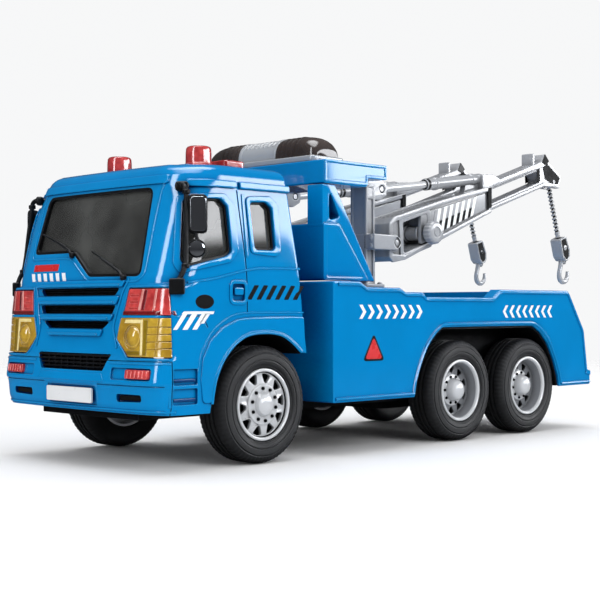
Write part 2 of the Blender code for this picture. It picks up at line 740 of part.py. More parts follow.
def build_booms():
    winch_hole = circle(WINCH_AXIS, WINCH_HOLE_R, 10)
    boom = join(
        side_plate(boom_span(8.0), BOOM_SIDE, BOOM_WINDOW),
        side_plate(boom_span(4.8), TIP_SIDE, TIP_HOLE),
        along_ram(turned(RAM_CYLINDER, 12)),
        side_plate(boom_span(1.6), RAM_BRACKET),
        cylinder(boom_span(9.9), 2.6, 12, BOOM_PIVOT),
        box(boom_span(3.8), (229.0, 231.0), (141.4, 153.2)),   # upright tab on the tip
    )
    cut(
        boom,
        along_ram(cylinder((30.0, 74.0), 2.15, 12)),           # bore for the ram rod
        box(boom_span(2.4), (244.6, 262.0), (130.0, 146.0)),   # slot for the line
        side_plate(boom_span(15.0), winch_hole),
        cylinder(boom_span(6.0), 1.5, 12, LINE_PIVOT),
    )
    # the winch spindle runs in two lugs that stand in the boom's side window
    join(boom, *cheeks(6.4, WINCH_LUG, winch_hole))
    paired(piece("boom_left", GREY, boom), (BOOM_X, *BOOM_PIVOT))


def build_ram_rods():
    rod = join(
        along_ram(cylinder((0.0, 66.0), 1.6, 12)),
        eye(pin_half=4.7, pin_r=1.5, hub_half=2.4, hub_r=3.2, steps=16, centre=RAM_PIVOT),
    )
    paired(piece("ram_rod_left", STEEL, rod), (BOOM_X, *RAM_PIVOT))


def build_winches():
    winch = piece("winch_left", GREY, turned(WINCH, 14, WINCH_AXIS))
    paired(winch, (BOOM_X, *WINCH_AXIS))


# ------------------------------------------------------------------ lines and hooks
LINE_DIR = (0.318, -0.948)     # y, z; roughly square to the boom's tip
BLOCK_TOP = 33.4               # hook block's ends, down the line from its pivot
BLOCK_END = 47.4
LINE_END = BLOCK_TOP + 1.4
# distance down the line, offset to its rear side
BLOCK_SIDE = (
    (BLOCK_TOP, -3.4), (BLOCK_TOP, 3.4), (42.0, 4.6), (46.0, 3.2), (BLOCK_END, 1.2),
    (BLOCK_END, -1.4), (44.0, -3.4),
)
# y, z of the hook's bend, below the block
HOOK_BEND = [
    (263.0, 90.6), (261.4, 87.2), (261.3, 84.0), (262.9, 81.9), (265.6, 81.4), (268.2, 82.3),
    (269.6, 84.4), (269.9, 87.4),
]


def along_line(distance, across=0.0):
    """(y, z) at a distance down the line, `across` to its rear side."""
    length = math.hypot(*LINE_DIR)
    step_y, step_z = LINE_DIR[0] / length, LINE_DIR[1] / length
    return (
        LINE_PIVOT[0] + step_y * distance - step_z * across,
        LINE_PIVOT[1] + step_z * distance + step_y * across,
    )


def boom_plane_tube(points, radius):
    """A tube through (y, z) points in the boom's centre plane."""
    return tube([(BOOM_X, *point) for point in points], radius)


def build_lines():
    line = join(
        boom_plane_tube([along_line(0.0), along_line(LINE_END)], 1.35),
        eye(pin_half=4.4, pin_r=1.15, hub_half=2.0, hub_r=2.4, steps=12, centre=LINE_PIVOT),
    )
    paired(piece("line_left", STEEL, line), (BOOM_X, *LINE_PIVOT))


def build_hooks():
    hook = join(
        side_plate(boom_span(3.4), [along_line(*point) for point in BLOCK_SIDE]),
        boom_plane_tube([along_line(46.0)] + HOOK_BEND, 1.25),
    )
    cut(hook, boom_plane_tube([along_line(28.0), along_line(46.2)], 1.75))
    paired(piece("hook_left", GREY, hook), (BOOM_X, *LINE_PIVOT))


# ------------------------------------------------------------------ chassis
def build_chassis():
    tools = [
        box((-32, 32), (-48.5, 236), (22.0, 40.0)),
        box((-19.0, 19.0), (117.0, 153.0), (10.0, 24.0)),    # opening for the motor case
    ]
    for y in AXLE_Y.values():
        tools.append(side_plate((-40, 40), circle((y, AXLE_Z), AXLE_HOLE_R)))
    tray = box(span(0, CHASSIS_HALF_W), (-50.5, 238), CHASSIS_Z)
    piece("chassis_base", BLACK, cut(tray, *tools))


def build_sound_module():
    case = cut(
        box((-24, 24), (46.0, 92.0), (22.4, 44.0)),
        box((-22.5, 22.5), (47.5, 90.5), (23.9, 50.0)),
    )
    piece("sound_module", NAVY, case)


def build_battery_door():
    door = box((-20, 20), (50.0, 88.0), (18.0, CHASSIS_Z[0] - RUN_GAP))
    piece("battery_door", BLACK, door)


# ------------------------------------------------------------------ motor
GEAR_MODULE = 0.7
GEAR_TEETH, PINION_TEETH = 20, 10
PINION_OFFSET = (7.0, 8.09)    # y, z from the middle axle
PINION_AXIS = (MIDDLE_AXIS[0] + PINION_OFFSET[0], MIDDLE_AXIS[1] + PINION_OFFSET[1])
MESH_ANGLE = math.atan2(PINION_OFFSET[1], PINION_OFFSET[0])
# A tooth's corners: height from the pitch circle in modules, angle in tooth pitches
TOOTH = ((-1.05, -0.30), (0.8, -0.10), (0.8, 0.10), (-1.05, 0.30))
# x, radius: discs at both ends of a shaft, the left one carrying a wide hub
FLYWHEEL = [
    (18.2, 0.0), (18.2, 1.2), (8.0, 1.2), (8.0, 6.6), (2.0, 6.6), (2.0, 1.9), (-5.0, 1.9),
    (-5.0, 1.2), (-18.2, 1.2), (-18.2, 0.0),
]


def gear_loop(teeth, centre, turn):
    pitch = 2 * math.pi / teeth
    pitch_r = GEAR_MODULE * teeth / 2
    loop = []
    for i in range(teeth):
        for height, offset in TOOTH:
            radius = pitch_r + height * GEAR_MODULE
            angle = turn + pitch * i + offset * pitch
            loop.append(
                (centre[0] + radius * math.cos(angle), centre[1] + radius * math.sin(angle))
            )
    return loop


def build_motor_case():
    case = cut(
        box((-17.5, 17.5), (118.5, 151.5), (14.6, 43.0)),
        box((-16.0, 16.0), (120.0, 150.0), (16.0, 50.0)),
        side_plate((-30, 30), circle(MIDDLE_AXIS, AXLE_HOLE_R)),
        side_plate((-30, 30), circle(PINION_AXIS, 1.5)),
    )
    piece("motor_case", CREAM, case)


def build_drive_gear():
    teeth = gear_loop(GEAR_TEETH, MIDDLE_AXIS, MESH_ANGLE)
    gear = side_plate((-10.0, -6.0), teeth, circle(MIDDLE_AXIS, AXLE_SOCKET_R, 12))
    set_origin(piece("drive_gear", CREAM, gear), 0, *MIDDLE_AXIS)


def build_flywheel():
    """Carries the pinion, turned half a tooth so that it meshes with the drive gear."""
    turn = MESH_ANGLE + math.pi + math.pi / PINION_TEETH
    pinion = side_plate((-10.6, -4.6), gear_loop(PINION_TEETH, PINION_AXIS, turn))
    flywheel = join(turned(FLYWHEEL, 14, PINION_AXIS), pinion)
    set_origin(piece("flywheel", STEEL, flywheel), 0, *PINION_AXIS)


# ------------------------------------------------------------------ wheels
TYRE_IN, TYRE_OUT = 39.4, 55.9     # tyre faces, from the centre plane
RIM_IN, RIM_OUT = 40.1, 55.4       # rim faces
RIM_R = 15.4
# Tyre section, (x, radius)
TYRE = [
    (41.2, WHEEL_D / 2), (54.0, WHEEL_D / 2), (TYRE_OUT, 21.8),
    (TYRE_OUT - 0.6, RIM_R + RUN_GAP), (TYRE_IN + 0.6, RIM_R + RUN_GAP), (TYRE_IN, 21.8),
]
# Outer faces of the rims, (x, radius), and x of the axle socket's floor
FRONT_RIM = ([(57.2, 0.0), (56.6, 3.8), (54.0, 6.4), (53.4, 13.0)], 50.0)
DEEP_RIM = ([(54.6, 0.0), (54.0, 3.6), (50.6, 6.2), (49.4, 12.4)], 46.5)


def build_wheels(which, y):
    """One axle with its two rims and tyres."""
    centre = (y, AXLE_Z)
    face, socket_floor = FRONT_RIM if which == "front" else DEEP_RIM
    rim_profile = face + [
        (RIM_OUT, 14.0), (RIM_OUT, RIM_R), (RIM_IN, RIM_R), (RIM_IN, AXLE_SOCKET_R),
        (socket_floor, AXLE_SOCKET_R), (socket_floor, 0.0),
    ]
    tyre = turned(TYRE, 24, centre, closed_ring=True)
    paired(piece(which + "_tyre_left", RUBBER, tyre), (0, *centre))
    rim = turned(rim_profile, 16, centre)
    paired(piece(which + "_rim_left", SILVER, rim), (0, *centre))
    axle = cylinder(span(0, socket_floor - RUN_GAP), AXLE_R, 12, centre)
    set_origin(piece(which + "_axle", STEEL, axle), 0, *centre)


# ------------------------------------------------------------------ assembly
def smooth(obj):
    obj.data.shade_smooth()
    obj.data.set_sharp_from_angle(angle=math.radians(35.0))


build_cab_shell()
build_glazing()
build_interior()
build_steering_wheel()

build_bumper()
build_grille()
build_lens("headlamp_red", RED, RED_LAMP, back_y=LAMP_BACK_Y, z=(40.0, 80.0), inset=0.25)
build_lens("headlamp_amber", AMBER, AMBER_LAMP, back_y=LAMP_BACK_Y, z=(40.0, 80.0), inset=0.25)
build_lens("indicator", RED, rectangle(**INDICATOR), back_y=-53.5, z=(30.0, 48.0), inset=0.2)
build_number_plate()
build_wipers()

build_beacons()
build_sound_button()
build_side_mirrors()

build_rear_body()
build_headboard()
build_cross_beam()
build_light_bar()

build_masts()
build_booms()
build_ram_rods()
build_winches()
build_lines()
build_hooks()

build_chassis()
build_sound_module()
build_battery_door()
build_motor_case()
build_drive_gear()
build_flywheel()
for axle_name, axle_y in AXLE_Y.items():
    build_wheels(axle_name, axle_y)

for part in PARTS.objects:
    smooth(part)
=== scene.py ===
"""Looks of a toy tow truck: detailed meshes and procedural materials laid over the
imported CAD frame, with a pale studio floor, soft lights and a camera.

The truck faces -Y, its left side is +X and the ground is z = 0. Sizes are drawing
millimetres with y counted from the front axle; world() turns them into metres in
the shared frame. Paired pieces are drawn on the left and mirrored to the right.
"""

import json
import math

import bmesh
import bpy
from mathutils import Matrix, Vector

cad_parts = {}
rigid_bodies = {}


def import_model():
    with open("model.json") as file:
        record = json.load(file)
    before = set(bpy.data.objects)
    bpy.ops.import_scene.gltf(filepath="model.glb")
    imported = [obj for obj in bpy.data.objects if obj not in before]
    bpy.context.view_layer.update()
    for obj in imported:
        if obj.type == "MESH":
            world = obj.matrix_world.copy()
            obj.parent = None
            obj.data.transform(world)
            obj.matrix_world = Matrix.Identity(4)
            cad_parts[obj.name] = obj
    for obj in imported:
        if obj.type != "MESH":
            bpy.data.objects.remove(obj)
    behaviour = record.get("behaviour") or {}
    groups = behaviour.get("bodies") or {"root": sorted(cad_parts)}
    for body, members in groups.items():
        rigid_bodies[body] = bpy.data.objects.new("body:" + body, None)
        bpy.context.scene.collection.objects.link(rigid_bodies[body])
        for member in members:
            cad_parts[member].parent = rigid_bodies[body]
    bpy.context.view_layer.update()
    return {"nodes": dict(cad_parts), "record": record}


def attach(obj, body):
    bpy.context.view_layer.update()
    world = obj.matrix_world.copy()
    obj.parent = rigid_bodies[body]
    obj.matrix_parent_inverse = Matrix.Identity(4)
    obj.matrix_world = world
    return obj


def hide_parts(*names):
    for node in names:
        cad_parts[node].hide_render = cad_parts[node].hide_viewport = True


for old in list(bpy.data.objects):
    bpy.data.objects.remove(old, do_unlink=True)

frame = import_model()
SCENE = bpy.context.scene

MILLI = 0.001
SHIFT_Y = -104.95                # the front axle's place along the shared frame's Y
AXLE_Z = 25.0
AXLE_Y = {"front": 0.0, "middle": 135.4, "rear": 193.1}
BODY_X = 57.9                    # side face of the rear body
BUTTON = (28.0, 3.0)             # x, y of the roof button's centre
BOOM_X = 30.0                    # middle plane of the left mast and boom
# places in the boom's middle plane, as (y, z)
BOOM_PIVOT = (104.0, 98.0)
RAM_PIVOT = (99.0, 124.3)
RAM_CLIP = (183.0, 135.5)
WINCH_AXIS = (129.7, 103.9)
LINE_PIVOT = (249.6, 138.6)
LINE_DIRECTION = Vector((0.318, -0.948))


# ------------------------------------------------------------------ shader helpers
def linear(rgb):
    """sRGB values from 0 to 255 as linear values from 0 to 1."""
    return [(c / 255 / 12.92) if c <= 10 else ((c / 255 + 0.055) / 1.055) ** 2.4 for c in rgb]


def scaled(colour, factor, lift=0.0):
    return [min(1.0, c * factor + lift) for c in colour]


class Graph:
    """Adds nodes to one material or world tree."""

    def __init__(self, tree):
        self.tree = tree
        tree.nodes.clear()

    def add(self, kind, inputs=None, **settings):
        node = self.tree.nodes.new("ShaderNode" + kind)
        for key, value in settings.items():
            setattr(node, key, value)
        for key, value in (inputs or {}).items():
            self.put(node.inputs[key], value)
        return node

    def put(self, socket, value):
        if isinstance(value, bpy.types.Node):
            value = value.outputs[0]
        if isinstance(value, bpy.types.NodeSocket):
            self.tree.links.new(value, socket)
        elif isinstance(value, (tuple, list)) and len(value) == 3 and socket.type == "RGBA":
            socket.default_value = (*value, 1.0)
        else:
            socket.default_value = value

    def math(self, operation, first, second=0.0):
        inputs = {0: first, 1: second, 2: 0.0}
        return self.add("Math", inputs, operation=operation).outputs[0]

    def span(self, value, start, end, low=0.0, high=1.0):
        """Maps start..end to low..high, clamped."""
        inputs = {0: value, 1: start, 2: end, 3: low, 4: high}
        return self.add("MapRange", inputs, clamp=True).outputs[0]

    def band(self, value, fade_in, fade_out):
        """1 between two fades; each fade is (where it is 0, where it is 1)."""
        return self.math("MULTIPLY", self.span(value, *fade_in), self.span(value, *fade_out))

    def mix(self, factor, first, second, blend="MIX"):
        node = self.add("Mix", data_type="RGBA", blend_type=blend)
        self.put(node.inputs[0], factor)
        self.put(node.inputs[6], first)
        self.put(node.inputs[7], second)
        return node.outputs[2]

    def place(self):
        return self.add("TexCoord").outputs["Object"]

    def noise(self, place, scale, detail, roughness=0.5):
        inputs = {"Vector": place, "Scale": scale, "Detail": detail, "Roughness": roughness}
        return self.add("TexNoise", inputs).outputs[0]

    def edges(self, radius, blunt):
        """A rounded normal, the plain normal, and a mask of the mould edges that is
        full where the two normals' dot product falls to `blunt`; materials paint a highlight there."""
        bevel = self.add("Bevel", {"Radius": radius * MILLI}, samples=4).outputs[0]
        normal = self.add("NewGeometry").outputs["Normal"]
        dot = self.add("VectorMath", {0: bevel, 1: normal}, operation="DOT_PRODUCT")
        return bevel, normal, self.span(dot.outputs["Value"], start=0.985, end=blunt)

    def openness(self, distance, dark_below):
        """0 in corners, 1 in the open; materials paint shade where it is low."""
        node = self.add("AmbientOcclusion", {"Distance": distance * MILLI}, samples=6)
        return self.span(node.outputs["AO"], start=dark_below, end=0.95)

    def surface(self, shader):
        self.add("OutputMaterial", {"Surface": shader})


def new_material(name):
    mat = bpy.data.materials.new("mat_" + name)
    mat.use_nodes = True
    return mat, Graph(mat.node_tree)


# ------------------------------------------------------------------ material kinds
def plastic(
    name, rgb, *, rough=0.25, spec=0.5, metallic=0.0, coat=0.4, coat_rough=0.06,
    edge=None, highlight_mix=0.5, radius=0.35, ao=0.55, ao_distance=5.0, deep=None, shade=None,
    grain=0.012, vary=0.05, glow=0.0,
):
    """Moulded plastic: soft colour drift, fine grain, rounded mould edges with a painted highlight,
    faint scratches and painted shade in corners.

    edge, highlight_mix: colour of the painted highlight on the mould edges and how much of it shows
    radius, ao_distance, grain: rounding, reach of the painted corner shade, grain height (mm)
    ao, deep: how much the painted shade darkens corners, or the colour it gives them
    shade: painted shade colour of faces that look into a wide gap
    vary, glow: colour drift, a painted glow (light given off)
    """
    mat, graph = new_material(name)
    base = linear(rgb)
    place = graph.place()
    drift = graph.noise(place, scale=38.0, detail=2.0)
    fine = graph.noise(place, scale=1400.0, detail=3.0, roughness=0.6)
    smear = graph.noise(place, scale=120.0, detail=4.0, roughness=0.65)
    # edge_highlight_mask: where a painted highlight lightens the edges; openness: where painted shade
    # darkens corners
    bevel, normal, edge_highlight_mask = graph.edges(radius, blunt=0.80)
    openness = graph.openness(ao_distance, dark_below=0.15)
    edge_highlight_mask = graph.math("MULTIPLY", edge_highlight_mask, openness)

    lift = graph.span(drift, start=0.3, end=0.7, low=1.0 - vary, high=1.0 + vary)
    tint = graph.add("CombineColor", {0: lift, 1: lift, 2: lift})
    colour = graph.mix(1.0, base, tint, "MULTIPLY")
    # painted shade: corners take the darker colour
    dark = deep if deep is not None else scaled(base, 1.0 - ao)
    colour = graph.mix(openness, dark, colour)
    # painted shade on faces that look into a wide gap
    if shade is not None:
        inputs = {"Distance": 48.0 * MILLI, "Normal": normal}
        wide = graph.add("AmbientOcclusion", inputs, samples=8).outputs["AO"]
        colour = graph.mix(graph.span(wide, start=0.16, end=0.60), shade, colour)
    # painted highlight: the edges take a lighter colour
    highlight_rgb = linear(edge) if edge else scaled(base, 1.5, lift=0.03)
    colour = graph.mix(graph.math("MULTIPLY", edge_highlight_mask, highlight_mix), colour, highlight_rgb)

    # scratches: stretched noise, broken up by the smears
    stretch = {"Vector": place, "Rotation": (0.4, 0.3, 0.9), "Scale": (90.0, 1500.0, 900.0)}
    lines = graph.noise(graph.add("Mapping", stretch), scale=1.0, detail=2.0)
    lines = graph.span(lines, start=0.66, end=0.72)
    marks = graph.math("MULTIPLY", lines, graph.span(smear, start=0.5, end=0.62))
    marks = graph.span(marks, start=0.0, end=1.0, low=0.0, high=0.25)
    roughness = graph.span(smear, start=0.3, end=0.7, low=rough * 0.85, high=rough * 1.2)
    roughness = graph.math("ADD", roughness, graph.math("MULTIPLY", marks, 0.25))
    roughness = graph.math("ADD", roughness, graph.math("MULTIPLY", edge_highlight_mask, 0.06))
    height = graph.math("SUBTRACT", fine, graph.math("MULTIPLY", marks, 0.6))
    bump = graph.add("Bump", {
        "Height": height, "Strength": 1.0, "Distance": grain * MILLI, "Normal": bevel,
    })
    shader = graph.add("BsdfPrincipled", {
        "Base Color": colour, "Roughness": roughness, "Metallic": metallic, "Normal": bump,
        "Coat Weight": coat, "Coat Roughness": coat_rough, "Coat Normal": bevel,
        "Specular IOR Level": spec,
    })
    if glow:
        graph.put(shader.inputs["Emission Color"], colour)
        graph.put(shader.inputs["Emission Strength"], glow)
    graph.surface(shader)
    mat.diffuse_color = (*base, 1.0)
    return mat


def ink(name, rgb, **changes):
    """A flat printed colour."""
    values = {"highlight_mix": 0.1, "ao": 0.0, "grain": 0.006, **changes}
    return plastic(name, rgb, **values)


def lens_material(name, rgb, deep, glow):
    """Clear coloured plastic over a prismatic reflector: the colour deepens in patches
    and at grazing angles, a fine cell pattern shows through, and the edges carry a painted highlight."""
    rough = 0.08
    mat, graph = new_material(name)
    bright, dark = linear(rgb), linear(deep)
    place = graph.place()
    cell = graph.add(
        "TexVoronoi", {"Vector": place, "Scale": 420.0}, feature="F1", distance="CHEBYCHEV",
    ).outputs["Distance"]
    soft = graph.noise(place, scale=90.0, detail=3.0)
    fine = graph.noise(place, scale=900.0, detail=2.0)
    bevel, _, edge = graph.edges(radius=0.5, blunt=0.82)
    facing = graph.add("LayerWeight", {"Blend": 0.35}).outputs["Facing"]
    patches = graph.span(soft, start=0.35, end=0.65, low=0.0, high=0.75)
    colour = graph.mix(patches, bright, dark)
    colour = graph.mix(graph.span(cell, start=0.1, end=0.6, low=0.0, high=0.45), colour, dark)
    colour = graph.mix(graph.math("MULTIPLY", facing, 0.5), colour, dark)
    # painted highlight: the edges take a lighter colour
    highlight_rgb = scaled(bright, 1.25, lift=0.12)
    colour = graph.mix(graph.math("MULTIPLY", edge, 0.6), colour, highlight_rgb)
    bump = graph.add("Bump", {
        "Height": graph.math("ADD", cell, graph.math("MULTIPLY", fine, 0.2)),
        "Strength": 0.35, "Distance": 0.12 * MILLI, "Normal": bevel,
    })
    graph.surface(graph.add("BsdfPrincipled", {
        "Base Color": colour,
        "Roughness": graph.span(soft, start=0.3, end=0.7, low=rough, high=rough * 2.2),
        "Normal": bump, "Coat Weight": 1.0, "Coat Roughness": 0.03, "Coat Normal": bevel,
        "Emission Color": colour, "Emission Strength": glow,
    }))
    mat.diffuse_color = (*bright, 1.0)
    return mat


def glass_material(name, rgb, alpha, rough=0.06):
    """Smoked sheet: dark, mostly opaque, with a strong clean reflection."""
    mat, graph = new_material(name)
    place = graph.place()
    soft = graph.noise(place, scale=26.0, detail=3.0)
    fine = graph.noise(place, scale=700.0, detail=2.0)
    paler = linear([c * 1.5 + 8 for c in rgb])
    colour = graph.mix(graph.span(soft, start=0.35, end=0.65), linear(rgb), paler)
    bump = graph.add("Bump", {"Height": fine, "Strength": 0.12, "Distance": 0.0008 * MILLI})
    graph.surface(graph.add("BsdfPrincipled", {
        "Base Color": colour,
        "Roughness": graph.span(soft, start=0.3, end=0.7, low=rough, high=rough * 1.8),
        "Alpha": graph.span(soft, start=0.3, end=0.7, low=alpha - 0.06, high=alpha + 0.05),
        "Normal": bump, "Coat Normal": graph.add("NewGeometry").outputs["Normal"],
        "Specular IOR Level": 0.0, "Coat Weight": 1.0, "Coat Roughness": 0.03,
    }))
    mat.diffuse_color = (*linear(rgb), 1.0)
    return mat


def rubber_material(name, rgb):
    """Dull rubber with a painted highlight on its edges and painted shade in corners."""
    mat, graph = new_material(name)
    base = linear(rgb)
    place = graph.place()
    soft = graph.noise(place, scale=60.0, detail=4.0, roughness=0.6)
    fine = graph.noise(place, scale=1800.0, detail=4.0, roughness=0.7)
    bevel, _, edge = graph.edges(radius=0.3, blunt=0.82)
    openness = graph.openness(distance=4.0, dark_below=0.2)
    patches = graph.span(soft, start=0.3, end=0.7)
    colour = graph.mix(patches, scaled(base, 0.85), scaled(base, 1.18))
    # painted shade in corners
    colour = graph.mix(openness, scaled(base, 0.25), colour)
    # painted highlight on the open edges
    rubber_highlight = graph.math("MULTIPLY", graph.math("MULTIPLY", edge, openness), 0.55)
    colour = graph.mix(rubber_highlight, colour, scaled(base, 2.0, lift=0.02))
    bump = graph.add("Bump", {
        "Height": fine, "Strength": 0.8, "Distance": 0.03 * MILLI, "Normal": bevel,
    })
    graph.surface(graph.add("BsdfPrincipled", {
        "Base Color": colour,
        "Roughness": graph.span(soft, start=0.3, end=0.7, low=0.5, high=0.68),
        "Normal": bump, "Specular IOR Level": 0.3,
    }))
    mat.diffuse_color = (*base, 1.0)
    return mat


# ------------------------------------------------------------------ the materials
# In the materials below, each edge colour with its highlight_mix is a painted highlight on the edges;
# ao, deep and shade give painted shade in corners and gaps.
BLUE = plastic(
    "blue_body", (0, 133, 200), rough=0.3, coat=1.0, spec=0.0, coat_rough=0.045,
    edge=(60, 178, 232), highlight_mix=0.55, radius=0.45, ao=0.6,
    deep=linear((0, 46, 104)), shade=linear((0, 40, 104)),
)
# a darker copy of the body blue, painted shade on the step treads and deck boards
BLUE_SHADED = plastic(
    "blue_shade", (4, 62, 118), rough=0.3, coat=0.6, spec=0.1, edge=(70, 160, 214),
    highlight_mix=0.6, ao=0.6,
)
BLACK = plastic(
    "black_plastic", (18, 19, 21), rough=0.4, coat=0.05, spec=0.15, edge=(92, 96, 102), ao=0.5,
)
BLACK_MATT = plastic(
    "black_underside", (15, 16, 18), rough=0.6, coat=0.0, spec=0.1, edge=(78, 80, 84),
    highlight_mix=0.35, ao=0.6, grain=0.03,
)
INK_BLACK = ink("ink_black", (8, 9, 11), rough=0.45, coat=0.0, spec=0.05)
# white print, with a painted glow
INK_WHITE = ink("ink_white", (240, 243, 246), rough=0.3, coat=0.3, vary=0.02, glow=0.08)
INK_RED = ink("ink_red", (206, 36, 40), rough=0.28, coat=0.3)
SILVER = plastic(
    "rim_silver", (204, 207, 211), rough=0.26, coat=0.9, spec=0.1, edge=(250, 251, 252),
    highlight_mix=0.8, ao=0.85, vary=0.04,
)
# a darker copy of the rim silver for painted shade in the rim's recesses
RIM_SHADE = plastic(
    "rim_recess", (52, 54, 58), rough=0.4, coat=0.1, edge=(120, 124, 130), highlight_mix=0.4, ao=0.6,
)
GREY = plastic(
    "boom_silver", (168, 171, 176), rough=0.27, coat=0.9, spec=0.1, edge=(236, 239, 242),
    highlight_mix=0.8, ao=0.85, ao_distance=7.0,
)
WHITE = plastic(
    "white_plastic", (232, 234, 236), rough=0.3, coat=0.3, edge=(255, 255, 255), ao=0.5,
)
BAR_GREY = plastic(
    "light_bar_centre", (172, 176, 180), rough=0.2, coat=0.6, edge=(240, 242, 244),
    highlight_mix=0.6, ao=0.5,
)
NAVY = plastic(
    "interior_grey", (66, 62, 58), rough=0.5, coat=0.0, highlight_mix=0.2, ao=0.6, grain=0.03,
)
CREAM = plastic("gear_nylon", (228, 222, 202), rough=0.42, coat=0.0, highlight_mix=0.2, ao=0.6)
STEEL = plastic(
    "steel", (198, 201, 205), rough=0.3, edge=(240, 242, 244), metallic=0.15, ao=0.7, grain=0.01,
)
CORD = plastic(
    "hoist_cord", (176, 178, 181), rough=0.42, coat=0.1, highlight_mix=0.2, ao=0.8, ao_distance=1.2,
)
MIRROR_FACE = plastic(
    "mirror_face", (196, 202, 208), rough=0.06, coat=0.5, highlight_mix=0.2, metallic=1.0, ao=0.2,
    grain=0.002,
)
RED = lens_material("red_lens", (226, 84, 80), deep=(138, 22, 28), glow=0.14)
# paler and darker copies of the lens colours, for painted highlight and painted shade strips on the
# lenses
RED_HIGHLIGHT = lens_material("red_lens_highlight", (232, 168, 160), deep=(190, 96, 90), glow=0.14)
RED_SHADE = lens_material("red_lens_shade", (132, 18, 26), deep=(84, 8, 14), glow=0.02)
AMBER_HIGHLIGHT = lens_material("amber_lens_highlight", (244, 230, 178), deep=(220, 196, 110), glow=0.2)
AMBER_SHADE = lens_material("amber_lens_shade", (150, 124, 20), deep=(112, 88, 12), glow=0.02)
AMBER = lens_material("amber_lens", (212, 176, 62), deep=(146, 108, 20), glow=0.06)
SMOKE = glass_material("smoked_window", (56, 57, 56), alpha=0.88)
DOME = glass_material("smoked_dome", (46, 40, 38), alpha=0.95, rough=0.1)
RUBBER = rubber_material("tyre_rubber", (31, 32, 34))
# a darker copy of the rim silver, painted shade inside the deep dish
SHADED_DISH = plastic(
    "rim_dish", (128, 131, 136), rough=0.32, coat=0.5, spec=0.1, edge=(214, 217, 220),
    highlight_mix=0.6, ao=0.85,
)

# finish slot: its materials; the first one goes on the CAD nodes of that slot
SLOT_MATERIALS = {
    "blue_body": (BLUE, BLUE_SHADED),
    "black_plastic": (BLACK_MATT, BLACK, INK_BLACK),
    "tyre_rubber": (RUBBER,),
    "rim_silver": (SILVER, RIM_SHADE, SHADED_DISH),
    "boom_silver": (GREY,),
    "smoked_clear": (SMOKE,),
    "dome_smoke": (DOME,),
    "red_lens": (RED, RED_HIGHLIGHT, RED_SHADE, INK_RED),
    "amber_lens": (AMBER, AMBER_HIGHLIGHT, AMBER_SHADE),
    "white_plastic": (WHITE, INK_WHITE, BAR_GREY),
    "steel": (STEEL, CORD, MIRROR_FACE),
    "gear_nylon": (CREAM,),
    "interior_grey": (NAVY,),
}
SLOT_OF = {mat: slot for slot, mats in SLOT_MATERIALS.items() for mat in mats}
UNDERSIDE_NODES = ("motor_case", "sound_module", "battery_door", "chassis_base")


def paint_cad_nodes():
    for part in frame["record"]["subparts"]:
        obj = frame["nodes"][part["node"]]
        mat = SLOT_MATERIALS[part["material_slot"]][0]
        if part["node"] in UNDERSIDE_NODES:
            mat = BLACK_MATT
        if not obj.material_slots:
            obj.data.materials.append(mat)
        for place in obj.material_slots:
            place.material = mat


paint_cad_nodes()


# ------------------------------------------------------------------ objects and meshes
HOLD = bpy.data.collections.new("toy_tow_truck_looks")
SCENE.collection.children.link(HOLD)


def world(x, y, z):
    return Vector((x * MILLI, (y + SHIFT_Y) * MILLI, z * MILLI))


def drawing(point):
    return point.x / MILLI, point.y / MILLI - SHIFT_Y, point.z / MILLI


ORIGIN = world(0, 0, 0)


def new_object(mesh, mat=None):
    obj = bpy.data.objects.new("piece", mesh)
    HOLD.objects.link(obj)
    if mat:
        mesh.materials.clear()
        mesh.materials.append(mat)
    return obj


def to_mesh(shape):
    mesh = bpy.data.meshes.new("piece")
    shape.to_mesh(mesh)
    shape.free()
    return mesh


def from_bmesh(shape, mat=None):
    bmesh.ops.remove_doubles(shape, verts=shape.verts, dist=1e-7)
    bmesh.ops.recalc_face_normals(shape, faces=shape.faces)
    return new_object(to_mesh(shape), mat)


def drop(obj):
    mesh = obj.data
    bpy.data.objects.remove(obj)
    bpy.data.meshes.remove(mesh)


def evaluated_mesh(obj):
    bpy.context.view_layer.update()
    graph = bpy.context.evaluated_depsgraph_get()
    return bpy.data.meshes.new_from_object(obj.evaluated_get(graph))


def boolean(obj, operation, tools):
    """Applies the tools in turn and drops them."""
    for tool in tools:
        modifier = obj.modifiers.new("boolean", "BOOLEAN")
        modifier.operation = operation
        modifier.object = tool
        modifier.solver = "EXACT"
    old_mesh, mesh = obj.data, evaluated_mesh(obj)
    obj.modifiers.clear()
    obj.data = mesh
    bpy.data.meshes.remove(old_mesh)
    for tool in tools:
        drop(tool)
    mat = mesh.materials[0] if mesh.materials else None
    mesh.materials.clear()
    if mat:
        mesh.materials.append(mat)
    for face in mesh.polygons:
        face.material_index = 0
    return obj


def cut(obj, *tools):
    return boolean(obj, "DIFFERENCE", tools)


def merge(objs, mat):
    """Several pieces of one finish as one object, without a Boolean."""
    shape = bmesh.new()
    for obj in objs:
        shape.from_mesh(obj.data)
        drop(obj)
    mesh = to_mesh(shape)
    for face in mesh.polygons:
        face.material_index = 0
    return new_object(mesh, mat)


def mirrored(obj):
    shape = bmesh.new()
    shape.from_mesh(obj.data)
    shape.transform(Matrix.Scale(-1.0, 4, (1.0, 0.0, 0.0)))
    bmesh.ops.reverse_faces(shape, faces=shape.faces)
    return new_object(to_mesh(shape), obj.data.materials[0] if obj.data.materials else None)


